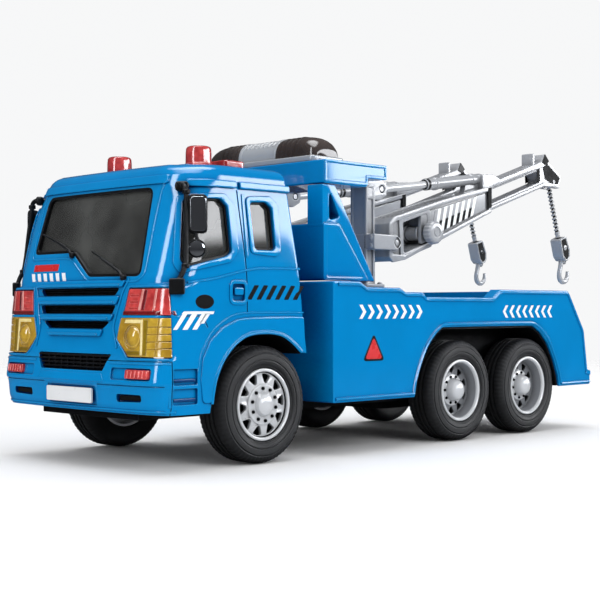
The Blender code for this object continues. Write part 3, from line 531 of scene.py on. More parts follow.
def conform(obj, move, xs=(), ys=(), zs=()):
    """Cuts the mesh at the given planes, then moves each point by move(x, y, z)."""
    shape = bmesh.new()
    shape.from_mesh(obj.data)
    for axis, values in enumerate((xs, ys, zs)):
        normal = Vector([1.0 if i == axis else 0.0 for i in range(3)])
        for value in values:
            bmesh.ops.bisect_plane(
                shape, geom=shape.verts[:] + shape.edges[:] + shape.faces[:],
                plane_co=world(value, value, value), plane_no=normal, dist=1e-7,
            )
    for vert in shape.verts:
        vert.co = world(*move(*drawing(vert.co)))
    shape.to_mesh(obj.data)
    shape.free()
    return obj


def turn_about(obj, point, matrix):
    """Turns a mesh drawn about the drawing's origin and puts it at a point."""
    obj.data.transform(Matrix.Translation(-ORIGIN))
    obj.data.transform(Matrix.Translation(world(*point)) @ matrix)
    return obj


X_TO_Y = Matrix.Rotation(math.radians(90), 4, "Z")


def finish(obj, name, body="chassis", nodes=(), angle=32.0):
    """Name and smooth shading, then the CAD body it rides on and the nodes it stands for
   ."""
    obj.name = "looks_" + name
    obj.data.shade_smooth()
    obj.data.set_sharp_from_angle(angle=math.radians(angle))
    flat = obj.modifiers.new("flat_faces", "WEIGHTED_NORMAL")
    flat.mode = "FACE_AREA"
    flat.keep_sharp = True
    flat.weight = 60
    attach(obj, body)
    if nodes:
        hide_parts(*nodes)


def both_sides(obj, name, body="chassis", node=None, angle=32.0):
    """Finishes a left-hand piece and its mirror image."""
    for piece, side in ((obj, "left"), (mirrored(obj), "right")):
        nodes = (f"{node}_{side}",) if node else ()
        finish(piece, f"{name}_{side}", body.format(side=side), nodes, angle)


# ------------------------------------------------------------------ flat outlines
def about(centre, half):
    return centre - half, centre + half


def pair(x0, x1):
    """A range of x beside the left boom, and its twin across the boom's middle plane."""
    return (x0, x1), (2 * BOOM_X - x1, 2 * BOOM_X - x0)


def rect(x0, x1, z0, z1):
    return [(x0, z0), (x1, z0), (x1, z1), (x0, z1)]


def trapezoid(half0, z0, half1, z1):
    return [(-half0, z0), (half0, z0), (half1, z1), (-half1, z1)]


def slanted(y0, y1, width, z0, z1):
    """A bar of even width from (y0, z0) up to (y1, z1)."""
    return [(y0, z0), (y0 + width, z0), (y1 + width, z1), (y1, z1)]


def flip(loop):
    return [(-x, z) for x, z in loop]


def circle(y, z, radius, count):
    turns = [2 * math.pi * (i + 0.5) / count for i in range(count)]
    return [(y + radius * math.cos(turn), z + radius * math.sin(turn)) for turn in turns]


def shares(steps):
    return [k / steps for k in range(steps + 1)]


def bend(before, corner, after, reach, limit, parts):
    """Points of a curve that cuts a corner. It starts `reach` along each leg, but no
    further than the share `limit` of the leg."""
    back, ahead = before - corner, after - corner
    reach = min(reach, back.length * limit, ahead.length * limit)
    start, end = corner + back.normalized() * reach, corner + ahead.normalized() * reach
    return [tuple(start * (1 - s) ** 2 + corner * 2 * s * (1 - s) + end * s * s) for s in parts]


def rounded(loop, radius, steps=4):
    """The closed loop with each corner replaced by an arc; radius may be one per corner."""
    out = []
    for i, corner in enumerate(loop):
        before, corner, after = Vector(loop[i - 1]), Vector(corner), Vector(loop[(i + 1) % len(loop)])
        size = radius[i] if isinstance(radius, (list, tuple)) else radius
        back, ahead = before - corner, after - corner
        if size <= 0 or back.length < 1e-6 or ahead.length < 1e-6:
            out.append(tuple(corner))
            continue
        angle = back.angle(ahead)
        if angle > math.radians(174):
            out.append(tuple(corner))
            continue
        reach = size / math.tan(angle / 2)
        out += bend(before, corner, after, reach, 0.46, shares(steps))
    return out


def inset(loop, by):
    """The closed loop moved inwards by `by` along its corner bisectors."""
    area = sum(a[0] * b[1] - b[0] * a[1] for a, b in zip(loop, loop[1:] + loop[:1]))
    turn = 1 if area > 0 else -1
    out = []
    for i, corner in enumerate(loop):
        before, corner, after = Vector(loop[i - 1]), Vector(corner), Vector(loop[(i + 1) % len(loop)])
        arriving, leaving = (corner - before).normalized(), (after - corner).normalized()
        normal = Vector((-arriving.y, arriving.x)) * turn
        middle = normal + Vector((-leaving.y, leaving.x)) * turn
        if middle.length < 1e-6:
            out.append(tuple(corner + normal * by))
            continue
        middle.normalize()
        reach = min(by / max(middle.dot(normal), 0.35), by * 2.4)
        out.append(tuple(corner + middle * reach))
    return out


def resample(points, step):
    """Points along a polyline, no further apart than step, corners kept."""
    out = [Vector(points[0])]
    for start, end in zip(points, points[1:]):
        start, end = Vector(start), Vector(end)
        count = max(1, math.ceil((end - start).length / step))
        out += [start.lerp(end, k / count) for k in range(1, count + 1)]
    return out


def soften(points, reach, limit=0.46):
    """An open polyline with its inner corners rounded."""
    out = [tuple(points[0])]
    for corner in zip(points, points[1:], points[2:]):
        out += bend(*map(Vector, corner), reach, limit, shares(4))
    return out + [tuple(points[-1])]


def groove_loop(points, width):
    """A thin closed strip about an open path."""
    left, right = [], []
    for i, point in enumerate(points):
        before, after = Vector(points[max(i - 1, 0)]), Vector(points[min(i + 1, len(points) - 1)])
        along = (after - before).normalized()
        offset = Vector((-along.y, along.x)) * width / 2
        left.append(tuple(Vector(point) + offset))
        right.append(tuple(Vector(point) - offset))
    return left + right[::-1]


# ------------------------------------------------------------------ solid shapes
def curve_shape(curve):
    helper = bpy.data.objects.new("curve", curve)
    HOLD.objects.link(helper)
    mesh = evaluated_mesh(helper)
    bpy.data.objects.remove(helper)
    bpy.data.curves.remove(curve)
    shape = bmesh.new()
    shape.from_mesh(mesh)
    bpy.data.meshes.remove(mesh)
    return shape


def outline(loops, thickness, place, mat, edge):
    """A flat outline (with holes) extruded both ways, its rims rounded by `edge`."""
    curve = bpy.data.curves.new("outline", "CURVE")
    curve.dimensions = "2D"
    curve.fill_mode = "BOTH"
    curve.extrude = (thickness / 2 - edge) * MILLI
    if edge:
        curve.bevel_depth = edge * MILLI
        curve.bevel_resolution = 2
        curve.offset = -edge * MILLI
    for loop in loops:
        spline = curve.splines.new("POLY")
        spline.points.add(len(loop) - 1)
        for point, (across, up) in zip(spline.points, loop):
            point.co = (across * MILLI, up * MILLI, 0.0, 1.0)
        spline.use_cyclic_u = True
    shape = curve_shape(curve)
    shape.transform(place)
    return from_bmesh(shape, mat)


# the outline's own axes (across, up, thickness) set along the drawing's axes
SIDE_AXES = Matrix(((0, 0, 1, 0), (1, 0, 0, 0), (0, 1, 0, 0), (0, 0, 0, 1)))
FRONT_AXES = Matrix(((1, 0, 0, 0), (0, 0, -1, 0), (0, 1, 0, 0), (0, 0, 0, 1)))


def side_plate(xs, *loops, edge=0.0, mat=None):
    """Loops drawn in (y, z), filling the two values of x."""
    place = Matrix.Translation(world(sum(xs) / 2, 0, 0)) @ SIDE_AXES
    return outline(loops, abs(xs[1] - xs[0]), place, mat, edge)


def front_plate(ys, *loops, edge=0.0, mat=None):
    """Loops drawn in (x, z), filling the two values of y."""
    place = Matrix.Translation(world(0, sum(ys) / 2, 0)) @ FRONT_AXES
    return outline(loops, abs(ys[1] - ys[0]), place, mat, edge)


def top_plate(zs, *loops, edge=0.0, mat=None):
    """Loops drawn in (x, y), filling the two values of z."""
    place = Matrix.Translation(world(0, 0, sum(zs) / 2))
    return outline(loops, abs(zs[1] - zs[0]), place, mat, edge)


def block(xs, ys, zs, rim=0.6, corner=1.2):
    """A moulded block with rounded corners, as drawn from above, and rounded rims."""
    edge = min(rim, (zs[1] - zs[0]) * 0.45)
    return top_plate(zs, rounded(rect(*xs, *ys), corner), edge=edge)


def box(xs, ys, zs, corner=0.0):
    return block(xs, ys, zs, rim=0.0, corner=corner)


def turned(profile, steps, centre=(0, 0), axis="X", closed=False, wave=None, mat=None):
    """A shape turned about a line along X through (y, z), or along Z through (x, y).
    profile is (distance along the line, radius) pairs; wave(step, along, radius) may
    return another (along, radius)."""
    shape = bmesh.new()
    rows = []
    for profile_along, profile_radius in profile:
        row = []
        for i in range(steps):
            angle = 2 * math.pi * i / steps
            along, radius = profile_along, profile_radius
            if wave:
                along, radius = wave(i, along, radius)
            first = centre[0] + radius * math.cos(angle)
            second = centre[1] + radius * math.sin(angle)
            point = (along, first, second) if axis == "X" else (first, second, along)
            row.append(shape.verts.new(world(*point)))
            if profile_radius == 0.0:
                break
        rows.append(row)
    pairs = list(zip(rows, rows[1:]))
    if closed:
        pairs.append((rows[-1], rows[0]))
    for low, high in pairs:
        for i in range(steps):
            j = (i + 1) % steps
            if len(low) == 1:
                shape.faces.new((low[0], high[j], high[i]))
            elif len(high) == 1:
                shape.faces.new((low[i], low[j], high[0]))
            else:
                shape.faces.new((low[i], low[j], high[j], high[i]))
    return from_bmesh(shape, mat)


def loft(rings, mat=None):
    """A skin over rings of points, closed at both ends."""
    shape = bmesh.new()
    rows = [[shape.verts.new(world(*point)) for point in ring] for ring in rings]
    for low, high in zip(rows, rows[1:]):
        for i in range(len(low)):
            j = (i + 1) % len(low)
            shape.faces.new((low[i], low[j], high[j], high[i]))
    shape.faces.new(rows[0])
    shape.faces.new(rows[-1])
    return from_bmesh(shape, mat)


def tube(points, radius, sides=3, smooth=False, taper=None, mat=None):
    curve = bpy.data.curves.new("tube", "CURVE")
    curve.dimensions = "3D"
    curve.bevel_depth = radius * MILLI
    curve.bevel_resolution = sides
    curve.use_fill_caps = True
    spline = curve.splines.new("NURBS" if smooth else "POLY")
    spline.points.add(len(points) - 1)
    for k, (point, place) in enumerate(zip(spline.points, points)):
        point.co = (*world(*place), 1.0)
        point.radius = taper[k] if taper else 1.0
    if smooth:
        spline.use_endpoint_u = True
        spline.order_u = 4
        spline.resolution_u = 6
    return from_bmesh(curve_shape(curve), mat)


# ------------------------------------------------------------------ cab surface
# z, front face y at the centre, half width, rear face y
CAB_TOP = 125.0
CAB_LEVELS = (
    (20.0, -57.2, 57.2, 24.6), (23.3, -57.8, 57.4, 24.6), (27.0, -59.2, 57.8, 24.6),
    (33.6, -59.8, 57.9, 24.6), (35.6, -60.9, 57.9, 24.6), (44.5, -59.6, 57.9, 24.6),
    (47.0, -58.4, 57.9, 24.4), (64.0, -57.4, 57.9, 21.8), (72.6, -56.33, 57.9, 20.79),
    (74.4, -56.11, 57.9, 20.58), (75.8, -55.94, 57.9, 20.42), (78.5, -55.6, 57.9, 20.1),
    (84.6, -54.0, 57.7, 19.2), (100.0, -50.01, 56.81, 16.77), (108.0, -47.94, 56.34, 15.49),
    (112.0, -46.9, 56.1, 14.86), (115.5, -46.0, 55.9, 14.3), (118.0, -45.2, 55.8, 13.9),
    (120.5, -44.2, 55.4, 13.6), (122.6, -43.0, 54.8, 13.2), (124.0, -41.6, 53.6, 12.4),
    (CAB_TOP, -38.8, 51.2, 11.0),
)
# z, roundness: the front corners are tight beside the lamps and well rounded above them
ROUNDNESS = (
    (0.0, 0.0), (74.4, 0.0), (75.8, 0.56), (84.6, 0.52), (100.0, 0.4), (108.0, 0.45),
    (112.0, 0.62), (115.5, 0.8), (118.0, 0.86), (130.0, 0.8),
)
# how far each corner of cab_half is eased
EASE = (0, 0, 6.0, 5.0, 2.6, 2.6, 2.6, 4.0, 1.2, 0.8)


def interpolate(rows, z):
    """The columns after the first, at z in the first column."""
    for low, high in zip(rows, rows[1:]):
        if low[0] <= z <= high[0]:
            part = (z - low[0]) / (high[0] - low[0])
            return [a + part * (b - a) for a, b in zip(low[1:], high[1:])]
    return list((rows[0] if z < rows[0][0] else rows[-1])[1:])


def level_ease(z):
    """Half the height over which a level line's corner is eased."""
    return 0.7 if z < 118 else 0.35


def cab_level(z):
    """Front y, half width and rear y, with the corners of the level lines eased."""
    ease = level_ease(z)
    heights = (z - ease, z, min(z + ease, CAB_TOP))
    below, here, above = (interpolate(CAB_LEVELS, height) for height in heights)
    return [(a + 2 * b + c) / 4 for a, b, c in zip(below, here, above)]


def cab_half(z, inset_by):
    """The left half of the cab's section at z, from the front centre to the rear corner."""
    front, side, rear = cab_level(z)
    front, side, rear = front + inset_by, side - inset_by, rear - inset_by
    curl = interpolate(ROUNDNESS, z + inset_by)[0]
    return [
        (0.0, front), (14.0, front + 0.15), (28.0, front + 0.6),
        (40.0 - 2.0 * curl, front + 1.2 + 0.1 * curl),
        (side - 9.2 - 3.4 * curl, front + 1.9 + 1.3 * curl),
        (side - 4.2 - 2.6 * curl, front + 3.6 + 3.6 * curl),
        (side - 1.2 - curl, front + 6.2 + 6.2 * curl), (side, front + 10.5 + 8.0 * curl),
        (side, rear - 1.6), (side - 1.6, rear),
    ]


def cab_ring(z, inset_by):
    points = cab_half(z, inset_by)
    last_x, last_y = points[-1]
    ahead = points[1:] + [(-last_x, last_y)]
    half = points[:2]
    for i in range(2, len(points)):
        corner = map(Vector, (points[i - 1], points[i], ahead[i]))
        half += bend(*corner, EASE[i], 0.45, (0.0, 0.33, 0.67, 1.0))
    ring = half + [(-x, y) for x, y in reversed(half[1:])]
    return [(x, y, z) for x, y in ring]


def cab_heights(z0, z1, step):
    """Every `step`, and closely about each level line."""
    marks = {z0, z1}
    for level in CAB_LEVELS:
        ease = level_ease(level[0])
        marks |= {round(level[0] + shift, 3) for shift in (-ease, 0.0, ease)}
    marks |= {round(z0 + k * step, 3) for k in range(int((z1 - z0) / step) + 1)}
    out = []
    for z in sorted(mark for mark in marks if z0 <= mark <= z1):
        if not out or z - out[-1] >= 0.3:
            out.append(z)
    if out[-1] != z1:
        out[-1] = z1
    return out


def cab_solid(z0, z1, inset_by, step=5.0, mat=None):
    return loft([cab_ring(z, inset_by) for z in cab_heights(z0, z1, step)], mat)


def front_y(x, z):
    """The cab's front surface at (x, z)."""
    points = cab_half(z, 0.0)
    x = abs(x)
    for (x0, y0), (x1, y1) in zip(points, points[1:]):
        if x0 <= x <= x1 and x1 > x0:
            return y0 + (y1 - y0) * (x - x0) / (x1 - x0)
    return points[7][1]


# planes at which plates are cut before they are bent onto the cab
FRONT_XS = (-50, -47, -44, -41, -38, -28, -14, 0, 14, 28, 38, 41, 44, 47, 50, 53)
SIDE_YS = tuple(k * 1.5 - 58.5 for k in range(22))
BEND_ZS = (
    33.6, 35.6, 44.5, 47.0, 55, 64.0, 71, 76.5, 78.5, 81.5, 84.6, 88, 92, 96, 100, 104, 108,
    110, 112, 114, 115.5, 117, 118.0,
)
EYE = Vector((446.0, -371.6))    # the camera's x, y; side pieces are laid on along its sight
half_rings = {}


def half_ring(z):
    key = round(z, 2)
    if key not in half_rings:
        points = [Vector(point[:2]) for point in cab_ring(z, 0.0)]
        half_rings[key] = points[: len(points) // 2 + 1]
    return half_rings[key]


def side_point(y, z):
    """Where a line of sight to the flat side at y meets the rounded cab."""
    front, side, _ = cab_level(z)
    start = Vector((side, y))
    aim = (start - EYE).normalized()
    ring = half_ring(z)
    nearest, found = None, None
    for here, there in zip(ring, ring[1:]):
        edge = there - here
        if edge.length < 1e-6:
            continue
        cross = aim.x * -edge.y + aim.y * edge.x
        if abs(cross) < 1e-9:
            continue
        gap = here - start
        away = (gap.x * -edge.y + gap.y * edge.x) / cross
        share = (aim.x * gap.y - aim.y * gap.x) / cross
        if -1e-6 <= share <= 1 + 1e-6 and away > -0.5 and (nearest is None or away < nearest):
            nearest, found = away, here + edge * share
    if nearest is None or (nearest < 0.02 and y > front + 14):
        return start
    return found


def lay_on_side(x, y, z):
    """A point at y along the cab's side and x out from it, carried round the corner."""
    point = side_point(y, z)
    run = side_point(y + 1.0, z) - side_point(y - 1.0, z)
    out = Vector((run.y, -run.x)).normalized() if run.length > 1e-6 else Vector((1.0, 0.0))
    if out.x <= 0:
        out = -out
    return point.x + out.x * x, point.y + out.y * x, z


def front_panel(ys, *loops, edge=0.0, mat=None):
    """A plate with y counted from the cab's front face, laid onto it."""
    obj = front_plate(ys, *loops, edge=edge, mat=mat)
    return conform(obj, lambda x, y, z: (x, y + front_y(x, z), z), xs=FRONT_XS, zs=BEND_ZS)


def side_panel(xs, *loops, edge=0.0):
    """A plate with x counted from the cab's left side, laid onto it round the corner."""
    return conform(side_plate(xs, *loops, edge=edge), lay_on_side, ys=SIDE_YS, zs=BEND_ZS)


def front_bead(points, radius, out=0.0, corner=2.5):
    path = resample(soften(points, corner), 2.5)
    return tube([(x, front_y(x, z) - out, z) for x, z in path], radius, sides=2)


def side_bead(points, radius, out=0.0, corner=2.5):
    path = resample(soften(points, corner), 2.0)
    return tube([lay_on_side(out, y, z) for y, z in path], radius, sides=2)


# ------------------------------------------------------------------ cab outlines
# front outlines, as (x, z); the lamps' are for the left side
WINDSCREEN = [(-37.2, 115.4), (37.2, 115.4), (40.0, 78.6), (6.6, 78.9), (-8.8, 89.5), (-39.8, 89.5)]
SLOTS = (
    trapezoid(28.5, 74.2, 25.6, 71.0), trapezoid(26.9, 67.1, 25.0, 63.5),
    trapezoid(24.2, 60.5, 19.3, 57.3),
)
LOW_GRILLE = trapezoid(26.1, 47.0, 22.0, 40.1)
RED_LAMP = [(34.8, 73.5), (60.0, 73.5), (60.0, 63.1), (32.9, 63.1)]
AMBER_LAMP = [(30.9, 61.8), (60.0, 61.8), (60.0, 46.4), (36.7, 46.4), (29.3, 53.4)]
LAMP_OPENING = [
    (34.3, 74.0), (60.3, 74.0), (60.3, 45.9), (36.4, 45.9), (28.6, 53.4), (30.4, 62.2), (32.3, 62.6),
]
# side outlines, as (y, z)
DOOR_OUT = [
    (-48.8, 111.6), (-23.5, 113.0), (-18.4, 108.7), (-16.9, 89.1), (-21.7, 84.6), (-48.8, 79.4),
    (-52.0, 83.7),
]
DOOR_IN = [
    (-45.8, 110.0), (-25.7, 110.6), (-22.3, 107.6), (-20.7, 88.6), (-24.2, 86.9), (-44.6, 82.4),
    (-48.3, 84.6),
]
REAR_OUT = [(-12.0, 112.4), (1.7, 113.4), (6.6, 110.0), (7.4, 89.6), (4.3, 87.6), (-10.2, 88.6)]
REAR_IN = [(-9.9, 110.1), (-0.4, 110.6), (3.0, 108.2), (4.2, 91.2), (2.4, 90.2), (-7.9, 90.2)]
WHEEL_ARCH = [
    (-33.0, 10.0), (-32.1, 25.6), (-31.4, 30.7), (-30.1, 36.9), (-26.6, 44.0), (-21.0, 50.1),
    (-13.9, 54.4), (-5.9, 55.6), (1.5, 55.5), (8.3, 54.4), (14.4, 51.0), (19.1, 47.1),
    (20.2, 46.4), (40.0, 46.4), (40.0, 10.0),
]
HANDLE_RECESS = rounded(rect(-20.6, -13.8, 68.8, 75.8), 1.2)
STEP_ZS = (27.4, 35.2)
# seams on the cab's side: path as (y, z), width, depth
SIDE_SEAMS = (
    ([(-16.5, 114.6), (-15.2, 103.0), (-14.3, 96.4), (-12.9, 85.0), (-12.4, 78.0), (-12.2, 63.4)],
     0.55, 0.7),
    ([(-46.2, 114.7), (-46.2, 112.6)], 0.5, 0.5),
    ([(-53.5, 73.6), (-53.5, 64.0), (-50.0, 62.6), (-36.6, 62.6), (-33.8, 58.0)], 0.5, 0.55),
)


def square(centre, half):
    return rect(*about(centre[0], half), *about(centre[1], half))


# ------------------------------------------------------------------ cab shell and sides
def cab_shell():
    cab = cab_solid(23.3, CAB_TOP, 0.0, mat=BLUE)
    tools = [
        cab_solid(20.0, 123.2, 1.8, step=12.0),
        box((-70, 70), (-70, -51.6), (10, 44.7)),
        side_plate((-70, 70), rounded(WHEEL_ARCH, 2.0)),
        front_plate((-70, -41.0), rounded(WINDSCREEN, [4.5, 4.5, 3.0, 6.0, 6.0, 3.0], 6)),
        side_plate((-70, 70), rounded(REAR_IN, 2.0)),
        front_plate((-70, -50), rounded(LOW_GRILLE, 0.8)),
        front_plate((-70, -51.6), rounded(LAMP_OPENING, 0.8)),
        front_plate((-70, -51.6), rounded(flip(LAMP_OPENING), 0.8)),
        box(about(BUTTON[0], 6.6), about(BUTTON[1], 6.6), (118, 130), corner=1.6),
    ]
    tools += [front_plate((-70, -50), rounded(loop, 0.9)) for loop in SLOTS]
    door_hole = side_panel((-4.0, 3.0), rounded(DOOR_IN, 2.5))
    tools += [door_hole, mirrored(door_hole)]
    for side in (-1, 1):
        for low in STEP_ZS:
            pocket = rounded(rect(-51.4, -39.2, low, low + 6.4), 0.8)
            tools.append(side_plate((side * 55.9, side * 60.0), pocket))
    cut(cab, *tools)
    seams = []
    for path, width, depth in SIDE_SEAMS:
        strip = side_panel((-depth, 2.0), groove_loop(resample(soften(path, 2.0), 3.0), width))
        seams += [strip, mirrored(strip)]
    seams += [side_plate((side * 56.7, side * 62.0), HANDLE_RECESS) for side in (1, -1)]
    cut(cab, *seams)
    finish(cab, "cab_shell", nodes=("cab_shell",), angle=28)


def cab_side_trim():
    """Window frames, two rails above them, the belt line and a rib between the windows."""
    front_rail = [(-44.0, 115.2), (-17.4, 115.2), (-17.4, 118.3), (-43.0, 118.3)]
    rear_rail = [(-15.6, 115.2), (13.4, 115.2), (13.2, 118.3), (-15.6, 118.3)]
    belt = [(-44.6, 76.0), (-30.1, 77.8), (-14.5, 81.3), (-5.9, 82.6), (18.6, 82.8)]
    pillar = [(-14.2, 113.2), (-12.9, 113.2), (-11.6, 87.2), (-12.6, 86.6)]
    trims = [
        side_panel((-1.0, 0.75), rounded(DOOR_OUT, 3.2), rounded(DOOR_IN, 2.5), edge=0.4),
        side_panel((-1.0, 0.75), rounded(REAR_OUT, 2.6), rounded(REAR_IN, 2.0), edge=0.4),
        side_panel((-1.0, 1.5), rounded(front_rail, 0.8), edge=0.5),
        side_panel((-1.0, 1.5), rounded(rear_rail, 0.8), edge=0.5),
        side_bead(belt, 0.55, out=-0.12, corner=4.0),
        side_panel((-0.6, 0.45), rounded(pillar, 0.4), edge=0.2),
    ]
    both_sides(merge(trims, BLUE), "cab_side_trim")


def door_handle():
    grip = side_plate((57.1, 58.3), rounded(rect(-19.4, -14.4, 71.2, 74.4), 0.9), edge=0.4)
    rim = side_plate((57.6, 58.4), inset(HANDLE_RECESS, -0.7), HANDLE_RECESS, edge=0.3)
    both_sides(merge([grip, rim], BLUE), "door_handle")


def cab_steps():
    treads = [
        side_plate((55.6, 57.3), rect(-50.8, -39.8, low + 1.2, low + 2.4), edge=0.3)
        for low in STEP_ZS
    ]
    both_sides(merge(treads, BLUE_SHADED), "cab_step_tread")
    back = side_plate((56.0, 56.7), rect(-53.0, -38.2, 26.4, 42.6), edge=0.1, mat=BLUE)
    both_sides(back, "cab_step_back")


def fender_flare():
    flare_out = [
        (-36.6, 27.4), (-37.7, 36.4), (-36.8, 45.5), (-32.8, 52.9), (-26.4, 58.0), (-18.6, 61.1),
        (-13.2, 61.9), (0.0, 62.3), (20.9, 62.3), (21.3, 55.0), (21.9, 46.6),
    ]
    flare_in = [
        (20.6, 46.6), (19.1, 47.3), (14.4, 51.2), (8.3, 54.6), (1.5, 55.7), (-5.9, 55.8),
        (-13.9, 54.6), (-21.0, 50.3), (-26.6, 44.2), (-30.1, 37.0), (-31.4, 30.8), (-31.9, 27.4),
    ]
    lip = [
        (-31.9, 27.0), (-31.4, 30.7), (-30.1, 36.9), (-26.6, 44.0), (-21.0, 50.1), (-13.9, 54.5),
        (-5.9, 55.7), (1.5, 55.6), (8.3, 54.5), (14.4, 51.1), (19.4, 47.0),
    ]
    outer_line = [
        (-38.9, 40.0), (-37.6, 47.4), (-33.4, 54.6), (-27.0, 59.9), (-19.4, 63.2), (-12.8, 63.9),
        (20.8, 63.9),
    ]
    pieces = [
        side_plate((57.2, 58.5), rounded(flare_out + flare_in, 2.0), edge=0.45),
        side_bead(lip, 0.75, out=0.35, corner=6.0),
        side_bead(outer_line, 0.4, out=-0.12, corner=6.0),
    ]
    both_sides(merge(pieces, BLUE), "fender_flare")


def wheel_well():
    """The inner face of the front wheel well, black as painted shade inside the well."""
    loop = [
        (-36.0, 24.0), (-36.0, 58.0), (24.0, 58.0), (24.0, 47.0), (20.5, 47.0), (14.4, 51.4),
        (8.3, 54.9), (1.5, 56.0), (-5.9, 56.1), (-13.9, 54.9), (-21.0, 50.6), (-26.9, 44.3),
        (-30.5, 37.0), (-31.9, 30.7), (-32.6, 24.0),
    ]
    both_sides(side_plate((36.5, 37.4), loop, edge=0.2, mat=BLACK_MATT), "wheel_well")


def arch_lining(path, step, centre, xs, thick):
    """A black band just inside a wheel arch, painted shade there, drawn towards a centre (y, z)."""
    centre = Vector(centre)
    outer, inner = [], []
    for point in resample(soften(path, 2.0), step):
        away = point - centre
        near = away.length
        outer.append(tuple(centre + away * ((near - 0.06) / near)))
        inner.append(tuple(centre + away * ((near - thick) / near)))
    return side_plate(xs, outer + inner[::-1], mat=BLACK_MATT)


def cab_arch_lining():
    path = WHEEL_ARCH[1:12] + [(20.2, 46.6)]
    path[0] = (-32.0, 25.6)
    lining = arch_lining(path, 3.0, centre=(-4.0, 22.0), xs=(20.0, 56.9), thick=0.8)
    both_sides(lining, "cab_arch_lining")


# ------------------------------------------------------------------ windows
def glazing():
    """Smoked sheets behind the openings, with a dark seal round each."""
    glass = cab_solid(77.0, 117.0, 2.1, step=8.0, mat=SMOKE)
    cut(glass, cab_solid(70.0, 120.0, 3.0, step=8.0))
    finish(glass, "cab_glazing", nodes=("cab_glazing",), angle=40)
    outer = rounded(inset(WINDSCREEN, -0.2), [4.5, 4.5, 3.0, 6.0, 6.0, 3.0], 6)
    inner = rounded(inset(WINDSCREEN, 1.2), [3.6, 3.6, 2.4, 6.5, 5.0, 2.4], 6)
    seal = front_panel((0.1, 2.0), outer, inner, edge=0.25)
    finish(merge([seal], BLACK), "windscreen_seal")
    seals = [
        side_panel(
            (-1.9, -0.9), rounded(inset(loop, -0.1), outer_r), rounded(inset(loop, 0.8), inner_r),
            edge=0.2,
        )
        for loop, outer_r, inner_r in ((DOOR_IN, 2.4, 2.0), (REAR_IN, 2.0, 1.6))
    ]
    both_sides(merge(seals, BLACK), "side_window_seal")


def windscreen_border():
    path = [
        (41.6, 116.6), (42.0, 79.4), (38.4, 76.6), (6.2, 76.9), (-9.6, 87.2), (-41.0, 87.2),
        (-40.4, 116.6),
    ]
    border = front_bead(path, 0.5, out=-0.15)
    brow = front_panel((-0.9, 1.0), rounded(trapezoid(44.0, 116.6, 43.2, 120.4), 1.2), edge=0.5)
    finish(merge([border, brow], BLUE), "windscreen_border")


# ------------------------------------------------------------------ grille
# low z, high z, half width at the foot, half width at the top
LOUVRES = (
    (74.5, 77.4, 30.4, 32.4), (67.4, 70.8, 27.6, 29.6), (60.8, 63.3, 24.8, 26.8),
    (54.2, 57.1, 18.4, 20.2),
)


def grille_louvres():
    """Louvres above and below the slots, each with a rolled lower lip, and a line at
    either end."""
    pieces = []
    for low, high, half_low, half_high in LOUVRES:
        loop = rounded(trapezoid(half_low, low, half_high, high), 0.9)
        pieces.append(front_panel((-1.25, 0.8), loop, edge=0.55))
        lip = [(-half_low + 1.4, low + 0.75), (half_low - 1.4, low + 0.75)]
        pieces.append(front_bead(lip, 0.55, out=1.2))
    end_line = [(33.6, 77.6), (30.3, 72.4), (28.6, 66.0), (26.0, 58.0), (29.0, 49.6)]
    pieces += [front_bead(path, 0.55) for path in (end_line, flip(end_line))]
    finish(merge(pieces, BLUE), "grille_louvres")


def grille_insert():
    pieces = [
        front_plate((-53.0, -51.6), rect(-28.8, 28.8, 56.5, 75.4)),
        front_plate((-56.3, -55.4), rounded(inset(LOW_GRILLE, -1.6), 0.6), edge=0.2),
    ]
    for loop in SLOTS:
        low, high = loop[2][1], loop[0][1]
        for k in range(3):
            z = low + (high - low) * (k + 0.5) / 3
            rib = rect(-29, 29, z - 0.28, z + 0.28)
            pieces.append(front_plate((-54.3, -52.6), rib, edge=0.2))
    for k in range(4):
        rib = rect(*about(0, 22.4 + k), *about(41.4 + k * 1.6, 0.35))
        pieces.append(front_plate((-58.6, -57.0), rib, edge=0.25))
    for k in range(-4, 5):
        bar = rect(*about(k * 4.6, 0.3), 40.6, 46.6)
        pieces.append(front_plate((-58.2, -57.0), bar, edge=0.2))
    finish(merge(pieces, BLACK), "grille_insert", nodes=("grille_insert",))


# ------------------------------------------------------------------ headlamps
REFLECTOR = (38.6, 54.2)         # x, z of the round reflector in the amber lens
# painted highlight and painted shade strips laid over the lenses: name, material, outlines as (x, z)
LENS_STRIPS = (
    ("red_highlights", RED_HIGHLIGHT, (
        [(42.7, 73.4), (43.8, 73.4), (42.6, 65.0), (41.3, 65.0)],
        [(50.1, 73.4), (50.9, 73.4), (50.4, 65.0), (49.5, 65.0)])),
    ("red_shade", RED_SHADE, (
        [(32.6, 64.6), (57.0, 64.6), (57.2, 63.1), (32.3, 63.1)],
        [(44.2, 73.2), (45.8, 73.2), (44.8, 65.0), (43.1, 65.0)])),
    ("amber_highlights", AMBER_HIGHLIGHT, (
        [(43.2, 61.2), (44.3, 61.2), (44.8, 47.0), (43.8, 47.0)],
        [(34.2, 61.2), (43.0, 61.2), (43.0, 59.8), (33.6, 59.8)])),
    ("amber_shade", AMBER_SHADE, (
        [(45.0, 61.0), (47.4, 61.0), (47.2, 47.0), (45.4, 47.0)],
        [(34.6, 48.6), (43.4, 48.6), (43.5, 47.0), (36.2, 47.0)])),
)


def with_middle(start, end):
    return [start, ((start[0] + end[0]) / 2, (start[1] + end[1]) / 2), end]


